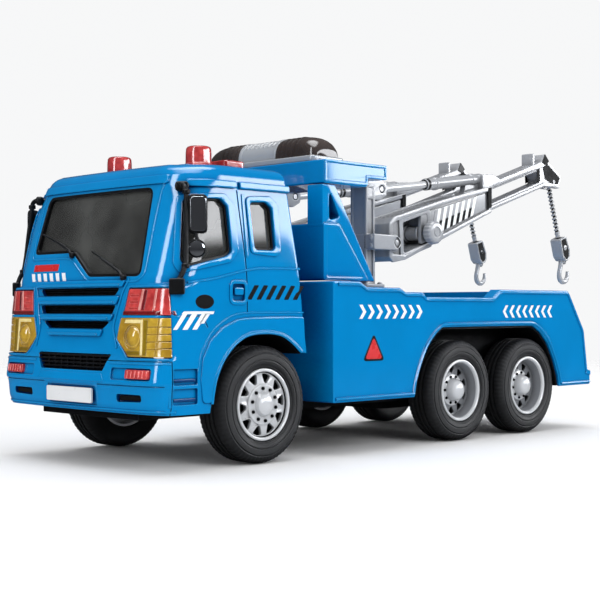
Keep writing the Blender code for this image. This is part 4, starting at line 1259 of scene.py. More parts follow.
def lamp_lens(loop, divisions, grooves):
    """A lens that follows the cab just outside its surface, cut by upright divisions
    and by grooves, given as (y range, loops)."""
    lens = front_plate((-66, -51.9), rounded(loop, 0.9))
    boolean(lens, "INTERSECT", [cab_solid(40.0, 80.0, -0.35)])
    tools = [front_panel((-1.6, 0.15), groove_loop(with_middle(*ends), 0.5)) for ends in divisions]
    tools += [front_panel(ys, *loops) for ys, *loops in grooves]
    return cut(lens, *tools)


def headlamp_red():
    divisions = (((43.3, 73.6), (41.8, 63.0)), ((50.4, 73.6), (49.7, 63.0)))
    grooves = []
    for k in range(3):
        z = 65.6 + k * 2.6
        lean = (70 - z) * 0.12
        loop = [(35.6 - lean, z - 0.4), (40.6, z - 0.4), (40.9, z + 0.4), (36.0 - lean, z + 0.4)]
        grooves.append(((-1.6, 0.25), rounded(loop, 0.3)))
    lens = lamp_lens(RED_LAMP, divisions, grooves)
    both_sides(merge([lens], RED), "headlamp_red", node="headlamp_red", angle=24)


def headlamp_amber():
    divisions = (((43.7, 61.9), (44.4, 46.3)), ((52.6, 61.9), (51.6, 46.3)))
    grooves = [((-1.6, 0.2), circle(*REFLECTOR, 5.1, 28), circle(*REFLECTOR, 4.6, 28))]
    for k in range(4):
        line = [(46.2, 49.2 + k * 3.0), (57.6, 49.9 + k * 2.8)]
        grooves.append(((-2.6, 0.05), groove_loop(line, 0.35)))
    lens = lamp_lens(AMBER_LAMP, divisions, grooves)
    bulb = turned([(-2.1, 0.0), (-1.9, 1.9), (-1.2, 3.3), (-0.3, 4.1), (0.5, 4.4)], 28)
    x, z = REFLECTOR
    turn_about(bulb, (x, front_y(x, z), z), X_TO_Y)
    both_sides(merge([lens, bulb], AMBER), "headlamp_amber", node="headlamp_amber", angle=24)


def headlamp_details():
    for name, mat, loops in LENS_STRIPS:
        strips = [front_panel((-0.48, 0.0), loop) for loop in loops]
        both_sides(merge(strips, mat), "headlamp_" + name)
    divider = rounded([(31.0, 61.9), (57.6, 61.9), (57.6, 62.9), (32.2, 62.9)], 0.3)
    rim = [(57.0, 74.6), (34.0, 74.6), (31.6, 62.6), (28.2, 53.4), (36.2, 45.3), (56.6, 45.4)]
    pieces = [
        front_panel((-0.5, 0.9), divider, edge=0.25),
        front_bead(rim, 0.5, out=-0.1, corner=1.5),
    ]
    both_sides(merge(pieces, BLUE), "headlamp_bezel")


# ------------------------------------------------------------------ bumper
def front_bumper():
    bumper = cab_solid(23.3, 44.4, 0.0, step=3.0, mat=BLUE)
    tools = [
        cab_solid(21.5, 42.2, 2.4, step=6.0),
        box((-70, 70), (-52.0, 40), (10, 60)),
        front_plate((-70, -50), rounded(LOW_GRILLE, 0.8)),
    ]
    recess = rounded(rect(27.7, 51.0, 36.9, 41.8), 1.2)
    fog = rounded([(30.2, 27.9), (45.2, 28.3), (45.2, 31.2), (30.2, 31.2)], 1.3)
    for lamp_loop, fog_loop in ((recess, fog), (flip(recess), flip(fog))):
        tools.append(front_panel((-3.0, 0.9), lamp_loop))
        tools.append(front_panel((-3.0, 1.9), fog_loop))
    tools.append(front_panel((-3.0, 0.4), rounded(rect(-17.2, 17.2, 25.8, 33.8), 1.0)))
    groove_z = 34.7
    for x0, x1 in ((-56.0, -19.0), (19.0, 56.0)):
        line = with_middle((x0, groove_z), (x1, groove_z))
        tools.append(front_panel((-2.0, 0.35), groove_loop(line, 0.5)))
    cut(bumper, *tools)
    finish(bumper, "front_bumper", nodes=("front_bumper",), angle=28)


def bumper_trim():
    pieces = [
        front_bead([(-57.0, 43.6), (-42.0, 43.6), (-26.6, 43.6)], 0.45, out=-0.1),
        front_bead([(26.6, 43.6), (42.0, 43.6), (57.0, 43.6)], 0.45, out=-0.1),
        front_bead([(-57.0, 24.6), (57.0, 24.6)], 0.55, out=0.05),
        front_panel((-0.2, 0.8), rounded(trapezoid(24.0, 35.6, 21.6, 39.2), 0.8), edge=0.4),
    ]
    finish(merge(pieces, BLUE), "bumper_trim")
    slot = rounded([(30.9, 28.5), (44.5, 28.8), (44.5, 30.7), (30.9, 30.7)], 0.8)
    both_sides(front_panel((0.9, 2.0), slot, edge=0.3, mat=BLACK), "fog_slot")


def indicator():
    pieces = [front_panel((-0.5, 1.6), rounded(rect(36.8, 50.0, 41.2, 37.6), 0.7), edge=0.4)]
    for k in range(6):
        rib = rect(38.2 + k * 2.2, 38.7 + k * 2.2, 38.1, 40.7)
        pieces.append(front_panel((-0.75, 0.0), rib, edge=0.15))
    both_sides(merge(pieces, RED), "indicator", node="indicator")


def number_plate():
    outer = rounded(rect(-16.0, 16.0, 26.7, 32.9), 0.8)
    inner = rounded(rect(-15.2, 15.2, 27.5, 32.1), 0.5)
    pieces = [
        front_plate((-61.0, -59.9), outer, edge=0.25),
        front_plate((-61.04, -60.6), outer, inner, edge=0.15),
    ]
    finish(merge(pieces, WHITE), "number_plate", nodes=("number_plate",))


# side, arm path and blade ends as (x, z)
WIPERS = (
    ("left", [(30.5, 78.2), (28.0, 80.6), (20.8, 83.7), (14.2, 86.4)], [(22.5, 83.2), (6.0, 89.6)]),
    ("right", [(-8.0, 88.6), (-11.0, 91.0), (-18.0, 93.6), (-25.0, 95.8)],
     [(-14.0, 92.4), (-35.0, 98.6)]),
)


def wipers():
    """A tapered arm, a blade with its spine and a hinge boss."""
    for side, arm, blade in WIPERS:
        arm_path = [(x, front_y(x, z) - 1.15, z) for x, z in arm]
        edge = [(x, front_y(x, z) - 0.55, z) for x, z in resample(blade, 3.0)]
        spine = [(x, y - 0.35, z + 0.25) for x, y, z in edge[1:-1]]
        pieces = [
            tube(arm_path, 0.62, taper=[1.15, 1.0, 0.8, 0.7]),
            tube(edge, 0.45),
            tube(spine, 0.3),
        ]
        hub = turned([(-1.0, 0.0), (-1.0, 1.0), (-0.7, 1.3), (1.6, 1.3), (1.6, 0.0)], 18)
        x, z = arm[0]
        pieces.append(turn_about(hub, (x, front_y(x, z) - 0.6, z), X_TO_Y))
        node = "windscreen_wiper_" + side
        finish(merge(pieces, BLACK), "wiper_" + side, nodes=(node,))


# ------------------------------------------------------------------ printed marks on the cab
def cab_marks():
    side_ink, front_ink = (-0.2, 0.06), (-0.08, 0.2)
    dark = []
    for k in range(6):
        top = -8.1 + k * 5.35
        bar = slanted(top - 4.3, top, 2.6, 69.4, 75.4)
        dark.append(side_panel(side_ink, rounded(bar, 0.25, 2)))
    turns = [t * math.pi / 16 for t in range(32)]
    oval = [(-35.5 + 4.9 * math.cos(turn), 68.4 + 2.85 * math.sin(turn)) for turn in turns]
    dark.append(side_panel(side_ink, oval))
    light_loops = [[(-47.6, 63.4), (-31.0, 63.4), (-30.4, 64.5), (-46.4, 64.5)]]
    for y0, y1 in ((-52.0, -49.9), (-47.2, -44.6), (-42.1, -39.7)):
        light_loops.append([(y0, 57.2), (y1, 57.2), (y1 + 5.4, 63.6), (y0 + 5.0, 63.6)])
    light_loops.append([(-38.4, 59.6), (-36.0, 59.6), (-32.6, 63.6), (-35.2, 63.6)])
    light = [side_panel(side_ink, loop) for loop in light_loops]
    both_sides(merge(dark, INK_BLACK), "cab_side_marks_dark")
    both_sides(merge(light, INK_WHITE), "cab_side_marks_light")
    label = rounded(rect(-37.1, -17.2, 81.9, 84.9), 0.4)
    finish(front_panel(front_ink, label, mat=INK_RED), "front_label")
    bars = []
    for k in range(6):
        x = -37.8 + k * 4.9
        bar = [(x + 1.5, 77.5), (x + 3.9, 77.5), (x + 2.1, 81.0), (x - 0.5, 81.0)]
        bars.append(front_panel(front_ink, bar))
    finish(merge(bars, INK_WHITE), "front_bars")


# ------------------------------------------------------------------ roof
def roof_beacons():
    profile = [
        (126.8, 0.0), (126.8, 5.7), (127.4, 5.9), (128.0, 5.9), (128.3, 5.65), (132.6, 5.6),
        (134.6, 5.4), (135.3, 4.9), (135.6, 4.1), (135.7, 0.0),
    ]
    for side, x in (("left", 28.0), ("right", -28.0)):
        foot = block(about(x, 5.8), about(-13.2, 5.8), (125.15, 127.4), corner=1.6)
        lamp = turned(profile, 48, (x, -13.2), axis="Z")
        name = "roof_beacon_" + side
        finish(merge([foot, lamp], RED), name, nodes=(name,))


def roof_button():
    """The button with its shallow dish, and the collar round it."""
    cap = block(about(BUTTON[0], 5.9), about(BUTTON[1], 5.9), (121.2, 130.4), rim=0.9, corner=2.2)
    profile = [(129.6, 0.0), (130.25, 3.4), (130.6, 3.9), (130.6, 4.3), (130.2, 4.6), (129.4, 4.6)]
    dish = turned(profile, 36, BUTTON, axis="Z")
    finish(merge([cap, dish], RED), "sound_button", body="roof_button", nodes=("sound_button",))
    outer, inner = rounded(square(BUTTON, 8.0), 2.4), rounded(square(BUTTON, 6.6), 1.6)
    finish(top_plate((124.4, 125.5), outer, inner, edge=0.35, mat=BLUE), "button_collar")


def roof_mouldings():
    zs = (124.6, 125.35)
    pieces = [block((-40.0, 40.0), (y, y + 1.6), zs, rim=0.3, corner=0.7) for y in (-30.5, -26.5)]
    outer = rounded(rect(-44.0, 44.0, -33.5, 7.0), 4.0)
    inner = rounded(rect(-42.8, 42.8, -32.3, 5.8), 3.2)
    pieces.append(top_plate(zs, outer, inner, edge=0.3))
    finish(merge(pieces, BLUE), "roof_mouldings")


# ------------------------------------------------------------------ side mirrors
MIRROR_ARM = [
    (48.6, -39.2, 115.0), (51.6, -42.0, 115.6), (54.2, -43.0, 114.4), (55.0, -42.8, 111.8),
    (56.2, -43.8, 100.0), (57.0, -44.6, 90.0), (57.8, -45.3, 83.4), (58.1, -47.4, 79.6),
    (57.6, -48.9, 76.6),
]
LARGE_HEAD, SMALL_HEAD = (58.5, -39.8), (58.8, -40.6)      # x, y
SMALL_HEAD_Z = 89.6


def z_turn(degrees):
    return Matrix.Rotation(math.radians(degrees), 4, "Z")


HEAD_TURN = z_turn(-32.0)


def mirror_block(at, half_thick, half_long, zs, edge, corner, turn=HEAD_TURN):
    """A block standing at (x, y), its outline rounded as seen from the side."""
    loop = rounded(rect(-half_long, half_long, *zs), corner, 6)
    return turn_about(side_plate((-half_thick, half_thick), loop, edge=edge), (*at, 0.0), turn)


def by_head(at, out, run, z):
    """A point beside a mirror head: out along its thickness, run along its length."""
    shift = HEAD_TURN @ Vector((out, run, 0.0))
    return at[0] + shift.x, at[1] + shift.y, z


def side_mirror():
    path = soften(MIRROR_ARM, 2.0, limit=0.45)
    x, y = LARGE_HEAD
    dome = [(-1.1, 0.0), (-1.0, 2.6), (-0.5, 3.5), (0.3, 3.8), (0.8, 3.6), (1.0, 3.2)]
    pieces = [
        tube(path, 1.05),
        mirror_block((x, y), 1.4, 3.9, (95.6, 111.4), 0.9, 2.2),
        mirror_block((x - 0.5, y - 0.3), 1.5, 3.3, (96.6, 110.4), 1.2, 1.6),
        turn_about(turned(dome, 30), (*SMALL_HEAD, SMALL_HEAD_Z), HEAD_TURN),
    ]
    # brackets from the heads to the nearest point of the arm
    for z, at, run in ((98.4, LARGE_HEAD, -3.6), (108.6, LARGE_HEAD, -3.6), (91.6, SMALL_HEAD, -3.0)):
        near = by_head(at, -0.2, run, z)
        far = min(path, key=lambda point: (Vector(point) - Vector(near)).length)
        pieces.append(tube([far, near], 0.6))
    link = [by_head(LARGE_HEAD, 0.0, -1.0, 96.4), by_head(SMALL_HEAD, 0.0, 0.4, 92.4)]
    pieces.append(tube(link, 0.8))
    collar = ((-0.9, 0.0), (-0.9, 1.4), (-0.6, 1.6), (0.6, 1.6), (0.9, 1.4), (0.9, 0.0))
    for z, centre in ((112.4, (54.9, -42.8)), (82.6, (57.9, -45.6))):
        pieces.append(turned([(z + along, r) for along, r in collar], 20, centre, axis="Z"))
    pieces += [
        mirror_block((57.3, -49.5), 1.4, 3.1, (71.2, 77.6), 0.6, 0.9, z_turn(-45.0)),
        mirror_block((50.6, -41.4), 1.5, 2.8, (113.0, 117.0), 0.9, 1.6, z_turn(-44.0)),
    ]
    both_sides(merge(pieces, BLACK), "side_mirror", node="side_mirror")


def mirror_glass():
    large = side_plate((1.1, 1.55), rounded(rect(-3.2, 3.2, 96.6, 110.4), 1.7, 6), edge=0.15)
    small = turned([(0.4, 3.3), (0.9, 3.1), (1.15, 2.4), (1.3, 1.2), (1.35, 0.0)], 28)
    faces = [
        turn_about(large, (*LARGE_HEAD, 0.0), HEAD_TURN),
        turn_about(small, (*SMALL_HEAD, SMALL_HEAD_Z), HEAD_TURN),
    ]
    both_sides(merge(faces, MIRROR_FACE), "mirror_glass")


# ------------------------------------------------------------------ rear body
# side outline as (y, z): front and top, top and tail, then forward over the wheel arch
BODY_SIDE = [
    (40.0, 23.5), (40.0, 78.0), (58.0, 78.0), (62.7, 75.5), (86.0, 75.5), (90.0, 73.5),
    (102.7, 73.5), (105.3, 71.3),
    (158.6, 71.3), (165.2, 75.5), (227.8, 75.5), (243.1, 54.0), (246.9, 30.0), (249.6, 29.0),
    (249.6, 23.5),
    (219.2, 23.5), (218.2, 29.0), (214.2, 38.1), (208.4, 47.2), (202.0, 52.9), (194.8, 56.7),
    (155.3, 56.7), (118.0, 56.5), (113.0, 53.6), (106.2, 47.6), (100.9, 38.5), (97.5, 30.7),
    (96.6, 23.5),
]
# corner radius of each point of BODY_SIDE, in the same three runs
BODY_RADII = [
    0.8, 1.2, 1.5, 1.5, 1.5, 1.5, 1.2, 1.2,
    1.5, 1.5, 1.6, 2.0, 1.0, 0.8, 0.8,
    0.8, 2, 4, 4, 4, 4, 2, 4, 4, 4, 4, 3, 0.8,
]
BODY_HOLLOW = [
    (42.0, 10.0), (42.0, 76.0), (57.0, 76.0), (62.0, 73.5), (85.2, 73.5), (89.0, 71.5),
    (102.0, 71.5), (105.0, 66.0), (226.4, 66.0), (241.0, 53.2), (244.6, 30.0), (244.6, 10.0),
]
# raised lines on the side: path as (y, z), radius, how far out, corner rounding
BODY_BEADS = (
    ([(43.0, 76.6), (57.7, 76.6), (62.4, 74.1), (85.7, 74.1), (89.7, 72.1), (102.2, 72.1),
      (104.9, 69.9), (159.0, 69.9), (165.5, 74.1), (227.1, 74.1), (241.8, 53.4), (245.5, 31.0)],
     0.75, 0.05, 1.5),
    ([(41.2, 25.2), (95.2, 25.2)], 0.75, 0.05, 1.5),
    ([(97.6, 25.0), (98.6, 30.4), (102.0, 38.0), (107.1, 46.8), (113.6, 52.5), (118.4, 55.4)],
     0.01, -1.0, 1.5),
    ([(95.2, 25.0), (96.3, 31.0), (99.8, 39.2), (105.2, 48.5), (112.3, 54.9), (117.7, 58.0),
      (155.3, 58.2), (195.2, 58.2), (202.8, 54.1), (209.5, 48.1), (215.5, 38.8), (219.5, 29.6),
      (220.4, 25.2)], 0.8, 0.1, 4.0),
    ([(221.0, 25.0), (249.0, 25.0)], 0.6, 0.05, 1.5),
)
REAR_LINING = [
    (96.8, 24.0), (97.7, 30.7), (101.1, 38.5), (106.4, 47.6), (113.2, 53.4), (118.2, 56.3),
    (155.3, 56.5), (194.8, 56.5), (201.9, 52.7), (208.2, 47.0), (214.0, 38.0), (218.0, 29.0),
    (219.0, 24.0),
]


def rear_body():
    body = side_plate(about(0, BODY_X), rounded(BODY_SIDE, BODY_RADII), edge=0.7, mat=BLUE)
    cut(
        body,
        side_plate((-56.3, 56.3), BODY_HOLLOW),
        box((-51.5, 51.5), (108.0, 224.5), (68.2, 90.0), corner=2.0),
        box((-34.4, 34.4), (39.0, 43.0), (10.0, 32.4)),
    )
    finish(body, "rear_body", nodes=("rear_body",), angle=28)
    beads = []
    for points, radius, out, corner in BODY_BEADS:
        path = resample(soften(points, corner), 5.0)
        beads.append(tube([(BODY_X + out, y, z) for y, z in path], radius, sides=2))
    tail = rounded([(244.0, 29.6), (249.6, 28.6), (249.6, 31.0), (246.4, 32.0)], 0.4)
    beads.append(side_plate((56.6, 58.3), tail, edge=0.3))
    both_sides(merge(beads, BLUE), "rear_body_beads")


def rear_arch():
    """The black lining and inner wall of the arch over both rear wheels, painted shade inside the
    arch.
    """
    lining = arch_lining(REAR_LINING, 4.0, centre=(158.0, 10.0), xs=(20.0, 56.4), thick=0.9)
    both_sides(lining, "rear_arch_lining")
    wall = [(101.0, 31.5), (107.0, 46.0), (116.0, 55.8), (199.0, 55.8), (208.0, 46.0), (215.0, 31.5)]
    both_sides(side_plate((35.3, 36.0), wall, mat=BLACK_MATT), "rear_arch_wall")


def body_marks():
    """Two rows of arrowheads that point to the middle, and a red triangle."""
    arrow = ((0.0, 67.4), (2.1, 67.4), (4.7, 64.2), (2.1, 61.0), (0.0, 61.0), (2.6, 64.2))
    arrows = []
    for k in range(8):
        for start, way in ((57.0, 1), (212.0, -1)):
            loop = [(start + way * (k * 5.75 + along), z) for along, z in arrow]
            arrows.append(side_plate((57.6, 57.97), loop))
    both_sides(merge(arrows, INK_WHITE), "body_arrowheads")
    triangle = [(66.9, 53.6), (60.0, 42.0), (73.8, 42.0)]
    outer, inner = rounded(inset(triangle, -0.3), 1.4), rounded(inset(triangle, 0.55), 1.0)
    both_sides(side_plate((57.6, 57.97), outer, inner, mat=INK_BLACK), "body_triangle_edge")
    both_sides(side_plate((57.6, 57.96), inner, mat=INK_RED), "body_triangle")


def deck_and_tail():
    boards = []
    for k in range(12):
        y = 109.2 + k * 9.6
        boards.append(block((-50.8, 50.8), (y, y + 8.6), (67.9, 68.8), rim=0.3, corner=0.6))
    finish(merge(boards, BLUE_SHADED), "deck_boards")
    lamps = [
        block(about(x, 6.0), (244.4, 247.7), (33.0, 39.0), rim=0.8, corner=0.8)
        for x in (44.0, -44.0)
    ]
    finish(merge(lamps, RED), "tail_lamps")


# ------------------------------------------------------------------ headboard and beam
def headboard():
    """A hollow box across the body, with a pierced frame at each end."""
    box_side = rounded([(43.0, 78.4), (43.0, 104.5), (53.4, 104.5), (74.0, 78.4)], 1.0)
    panel_hole = rounded([(45.2, 80.2), (45.2, 102.2), (52.4, 102.2), (69.6, 80.2)], 1.0)
    frame_side = [
        (43.0, 102.6), (43.0, 122.2), (51.0, 122.2), (78.6, 78.4), (72.0, 78.4), (52.4, 104.0),
        (52.4, 102.6),
    ]
    frame_hole = rounded([(47.4, 106.0), (47.4, 120.0), (54.4, 107.4)], 1.2)
    tower = side_plate((-49, 49), box_side, edge=0.6)
    cut(tower, box((-46.6, 46.6), (45.4, 90.0), (70.0, 102.1)))
    pieces = [tower]
    for side in (1, -1):
        pieces += [
            side_plate((side * 38.4, side * 48.4), rounded(frame_side, 0.8), frame_hole, edge=0.5),
            side_plate((side * 48.4, side * 49.05), box_side, panel_hole, edge=0.4),
        ]
    finish(merge(pieces, BLUE), "headboard", nodes=("headboard",))


def cross_beam():
    beam = [(43.5, 122.5), (43.5, 133.4), (86.0, 133.4), (86.0, 126.7), (72.5, 126.7), (72.5, 122.5)]
    rim = [(44.4, 124.0), (44.4, 132.6), (85.2, 132.6), (85.2, 127.5), (71.9, 127.5), (71.9, 124.0)]
    outer, inner = rounded(inset(rim, -0.5), 0.8), rounded(inset(rim, 0.5), 0.6)
    pieces = [side_plate((-49, 49), rounded(beam, 0.9), edge=0.6)]
    pieces += [side_plate((side * 48.8, side * 49.35), outer, inner, edge=0.2) for side in (1, -1)]
    finish(merge(pieces, BLUE), "cross_beam", nodes=("cross_beam",))


# ------------------------------------------------------------------ light bar
BAR_Y, BAR_Z = 57.5, 136.6       # middle and foot of the lenses
# x, size of the section
LENS_STATIONS = (
    (13.2, 1), (16.0, 1), (20.0, 1), (24.0, 1), (27.0, 0.99), (29.4, 0.965), (31.6, 0.92),
    (33.6, 0.84), (35.2, 0.74), (36.4, 0.6), (37.3, 0.42), (37.7, 0.22),
)
# x, how much larger the section is: a raised rim at each end
CENTRE_STATIONS = (
    (-12.9, 0.0), (-12.7, 0.3), (-11.6, 0.3), (-11.4, -0.2), (11.4, -0.2), (11.6, 0.3),
    (12.7, 0.3), (12.9, 0.0),
)


def bar_section(x, size=1.0, grow=0.0):
    points = []
    for k in range(25):
        angle = math.pi * k / 24
        cosine, sine = math.cos(angle), math.sin(angle)
        y = -(abs(cosine) ** 0.82) * math.copysign(10.0 + grow, cosine)
        z = (abs(sine) ** 0.86) * (9.9 + grow)
        points.append((x, BAR_Y + y * (0.55 + 0.45 * size), BAR_Z + z * size))
    return points


def light_bar():
    base = [
        block((-38.5, 38.5), about(BAR_Y, 11.0), (133.6, 136.5), rim=0.7, corner=3.0),
        block((-36.0, 36.0), about(BAR_Y, 9.0), (133.5, 134.2), rim=0.2, corner=2.0),
    ]
    finish(merge(base, BAR_GREY), "light_bar_base", nodes=("light_bar_base",))
    lens = [loft([bar_section(*station) for station in LENS_STATIONS])]
    for station_x in (15.4, 18.6, 21.8, 25.0):
        section = bar_section(station_x)
        path = [(x, BAR_Y + (y - BAR_Y) * 1.003, z + 0.05) for x, y, z in section]
        lens.append(tube(path, 0.26, sides=1))
    both_sides(merge(lens, DOME), "light_bar_lens", node="light_bar_lens")
    centre = [loft([bar_section(x, 1, grow) for x, grow in CENTRE_STATIONS])]
    for k in range(7):
        section = bar_section(-9.0 + k * 3.0)[5:12]
        path = [
            (x, BAR_Y + (y - BAR_Y) * 0.985, BAR_Z + (z - BAR_Z) * 0.985) for x, y, z in section
        ]
        centre.append(tube(path, 0.3, sides=1))
    finish(merge(centre, BAR_GREY), "light_bar_centre", nodes=("light_bar_centre",))


# ------------------------------------------------------------------ masts
def mast():
    post = rounded(rect(87.0, 93.6, 75.9, 126.2), 0.6)
    post_hole = rounded(rect(88.6, 92.0, 78.6, 124.4), 0.6)
    ear = rounded([(86.8, 94.2), (86.8, 101.8), (104.0, 101.6), (107.4, 98.0), (104.0, 94.4)], 1.6)
    top_ear = rounded([
        (87.2, 118.8), (87.2, 128.2), (98.4, 128.9), (102.2, 127.2), (103.4, 124.3),
        (102.2, 121.2), (97.6, 118.8),
    ], 1.2)
    gusset = rounded([(87.0, 84.0), (86.0, 76.4), (97.4, 76.4), (93.6, 84.0)], 0.6)
    pieces = [side_plate(xs, post, post_hole, edge=0.35) for xs in pair(33.6, 35.2)]
    pieces += [
        block(about(BOOM_X, 4.4), (87.3, 93.3), (75.9, 126.0), rim=0.3, corner=0.6),
        block(about(BOOM_X, 10.6), (87.0, 93.6), (94.2, 101.8), corner=0.8),
    ]
    for xs in pair(19.3, 21.4):
        pieces.append(side_plate(xs, ear, circle(*BOOM_PIVOT, 3.0, 28), edge=0.4))
    for xs in pair(25.0, 27.0):
        pieces.append(side_plate(xs, top_ear, circle(*RAM_PIVOT, 1.9, 20), edge=0.4))
    pieces += [
        block(about(BOOM_X, 8.0), (84.0, 98.0), (75.7, 77.6), rim=0.5, corner=1.4),
        side_plate(about(BOOM_X, 0.8), gusset, edge=0.3),
    ]
    for z in (96.0, 100.0):
        for x in about(BOOM_X, 8.4):
            stud = turned([(-0.7, 0.0), (-0.6, 0.9), (-0.2, 1.3), (0.6, 1.3)], 16)
            pieces.append(turn_about(stud, (x, 87.0, z), X_TO_Y))
    foot_stud = [(77.4, 1.3), (78.1, 1.2), (78.5, 0.8), (78.6, 0.0)]
    pieces += [turned(foot_stud, 16, (x, 96.0), axis="Z") for x in about(BOOM_X, 6.0)]
    both_sides(merge(pieces, GREY), "mast", node="mast")


# ------------------------------------------------------------------ booms
BOOM = "recovery_boom_{side}"
# outlines as (y, z)
BOOM_SIDE = [
    (101.2, 91.0), (101.2, 107.6), (104.6, 110.8), (141.8, 121.2), (185.6, 131.6), (184.8, 117.3),
    (113.5, 90.0), (104.0, 88.4),
]
BOOM_SIDE_HOLE = [
    (104.0, 92.4), (103.6, 106.6), (106.2, 108.7), (142.2, 118.8), (183.2, 128.6), (182.6, 118.9),
    (112.8, 92.4),
]
BOOM_WINDOW = [(112.4, 93.0), (111.8, 108.4), (130.6, 113.9), (131.4, 99.4)]
HAZARD_PAD = [(132.6, 101.4), (132.0, 115.0), (180.2, 127.4), (179.8, 118.6)]
TIP_SIDE = [
    (181.0, 116.0), (184.8, 117.5), (239.5, 135.1), (254.4, 135.0), (257.6, 141.8), (243.2, 150.6),
    (239.6, 154.0), (236.6, 149.0), (197.0, 136.3), (190.0, 138.4), (181.0, 137.6),
]
TIP_HOLE = [(188.0, 122.0), (188.0, 129.4), (232.6, 143.2), (235.6, 137.4)]
TIP_UPPER_RAIL = [
    (181.0, 129.0), (181.0, 137.6), (190.0, 138.4), (197.0, 136.3), (236.6, 149.0), (239.6, 154.0),
    (243.2, 150.6), (241.4, 147.6), (238.0, 146.0), (196.0, 133.0), (188.6, 130.9), (188.0, 129.4),
]
TIP_LOWER_RAIL = [
    (184.8, 117.5), (239.5, 135.1), (254.4, 135.0), (253.4, 137.4), (240.0, 137.6), (186.4, 120.4),
]
WINCH_LUG = [(126.0, 98.0), (126.0, 113.6), (133.6, 115.6), (133.6, 100.6)]
# the ram cylinder with its collars: distance from the ram pivot, radius
CYLINDER = [
    (88.6, 0.0), (88.9, 1.2), (88.4, 2.4), (86.0, 3.0), (80.0, 3.0), (79.6, 3.35), (77.0, 3.35),
    (76.6, 3.0), (48.6, 3.0), (48.2, 3.4), (46.4, 3.4), (46.0, 3.0), (45.6, 3.0), (39.2, 3.0),
    (38.8, 2.85), (38.8, 2.62), (40.0, 2.6),
]
RAM_SLOPE = math.atan2(RAM_CLIP[1] - RAM_PIVOT[1], RAM_CLIP[0] - RAM_PIVOT[0])
RAM_TURN = Matrix.Rotation(RAM_SLOPE, 4, "X") @ X_TO_Y


def on_ram(profile):
    """A shape turned about the ram's own line."""
    return turn_about(turned(profile, 28), (BOOM_X, *RAM_PIVOT), RAM_TURN)


def boom_arm():
    """The lower box section: a web, two cheeks, and a frame and a pad on each cheek."""
    window = rounded(BOOM_WINDOW, 1.2)
    pieces = [side_plate(about(BOOM_X, 6.6), rounded(inset(BOOM_SIDE, 0.4), 1.2), window, edge=0.3)]
    pieces.append(boom_tip())
    inner_xs = (22.0, 23.7)
    for cheek_xs, frame_xs, pad_xs in (
        ((36.3, 38.0), (36.3, 37.7), (36.3, 37.3)), (inner_xs, inner_xs, inner_xs),
    ):
        pieces += [
            side_plate(cheek_xs, rounded(BOOM_SIDE, 1.4), rounded(BOOM_SIDE_HOLE, 1.2), edge=0.45),
            side_plate(frame_xs, rounded(inset(BOOM_WINDOW, -1.6), 1.8), window, edge=0.35),
            side_plate(pad_xs, rounded(HAZARD_PAD, 0.8), edge=0.3),
        ]
    return pieces


def boom_tip():
    tip = side_plate(about(BOOM_X, 4.0), rounded(TIP_SIDE, 1.2), rounded(TIP_HOLE, 1.2), edge=0.4)
    return cut(
        tip,
        box(about(BOOM_X, 2.4), (244.6, 262.0), (130.0, 146.0)),
        side_plate((20, 40), circle(*LINE_PIVOT, 1.6, 20)),
    )


def boom_fittings():
    """Tip rails, ram cylinder, pivot bosses, winch lugs and small plates."""
    pieces = []
    for xs in pair(33.5, 34.9):
        pieces.append(side_plate(xs, rounded(TIP_UPPER_RAIL, 0.8), edge=0.4))
        pieces.append(side_plate(xs, rounded(TIP_LOWER_RAIL, 0.6), edge=0.4))
    pieces.append(on_ram(CYLINDER))
    for x0, x1 in pair(38.2, 39.9):
        boss = [(x0, 0.0), (x0, 2.3), (x0 + 0.4, 2.6), (x1 - 0.4, 2.6), (x1, 2.3), (x1, 0.0)]
        pieces.append(turned(boss, 28, BOOM_PIVOT))
    barrel = [(21.8, 0.0), (21.8, 4.4), (38.2, 4.4), (38.2, 0.0)]
    pieces.append(turned(barrel, 28, BOOM_PIVOT))
    for xs in pair(22.6, 24.6):
        lug = rounded(WINCH_LUG, 1.0)
        pieces.append(side_plate(xs, lug, circle(*WINCH_AXIS, 2.2, 24), edge=0.35))
    clip = rounded([(168.0, 126.0), (171.0, 134.2), (181.6, 135.0), (181.6, 128.0)], 0.8)
    tip_plate = rounded(rect(26.2, 33.8, 142.6, 153.2), 0.9)
    pieces.append(side_plate(about(BOOM_X, 1.8), clip, edge=0.4))
    pieces.append(front_plate((229.0, 231.0), tip_plate, edge=0.4))
    for x, way in ((39.9, 1), (20.1, -1)):
        cap = [(x - 0.1 * way, 1.5), (x + 0.35 * way, 1.3), (x + 0.5 * way, 0.0)]
        pieces.append(turned(cap, 20, BOOM_PIVOT))
    return pieces


def boom():
    pieces = boom_arm() + boom_fittings()
    both_sides(merge(pieces, GREY), "boom", BOOM, "boom", angle=28)


def on_line(y, start, end):
    """The z of a straight line at y."""
    return start[1] + (y - start[0]) * (end[1] - start[1]) / (end[0] - start[0])


def stripe(y, start, end, low_share, high_share):
    """A leaning stripe on the hazard pad, from start to end along y, between two shares
    of the pad's height."""
    low_front, high_front, high_rear, low_rear = HAZARD_PAD
    loop = []
    for share, shift in (
        (low_share, start), (low_share, end), (high_share, end), (high_share, start),
    ):
        place = y + shift + 3.4 * share
        low, high = on_line(place, low_front, low_rear), on_line(place, high_front, high_rear)
        loop.append((place, low + (high - low) * share))
    return loop


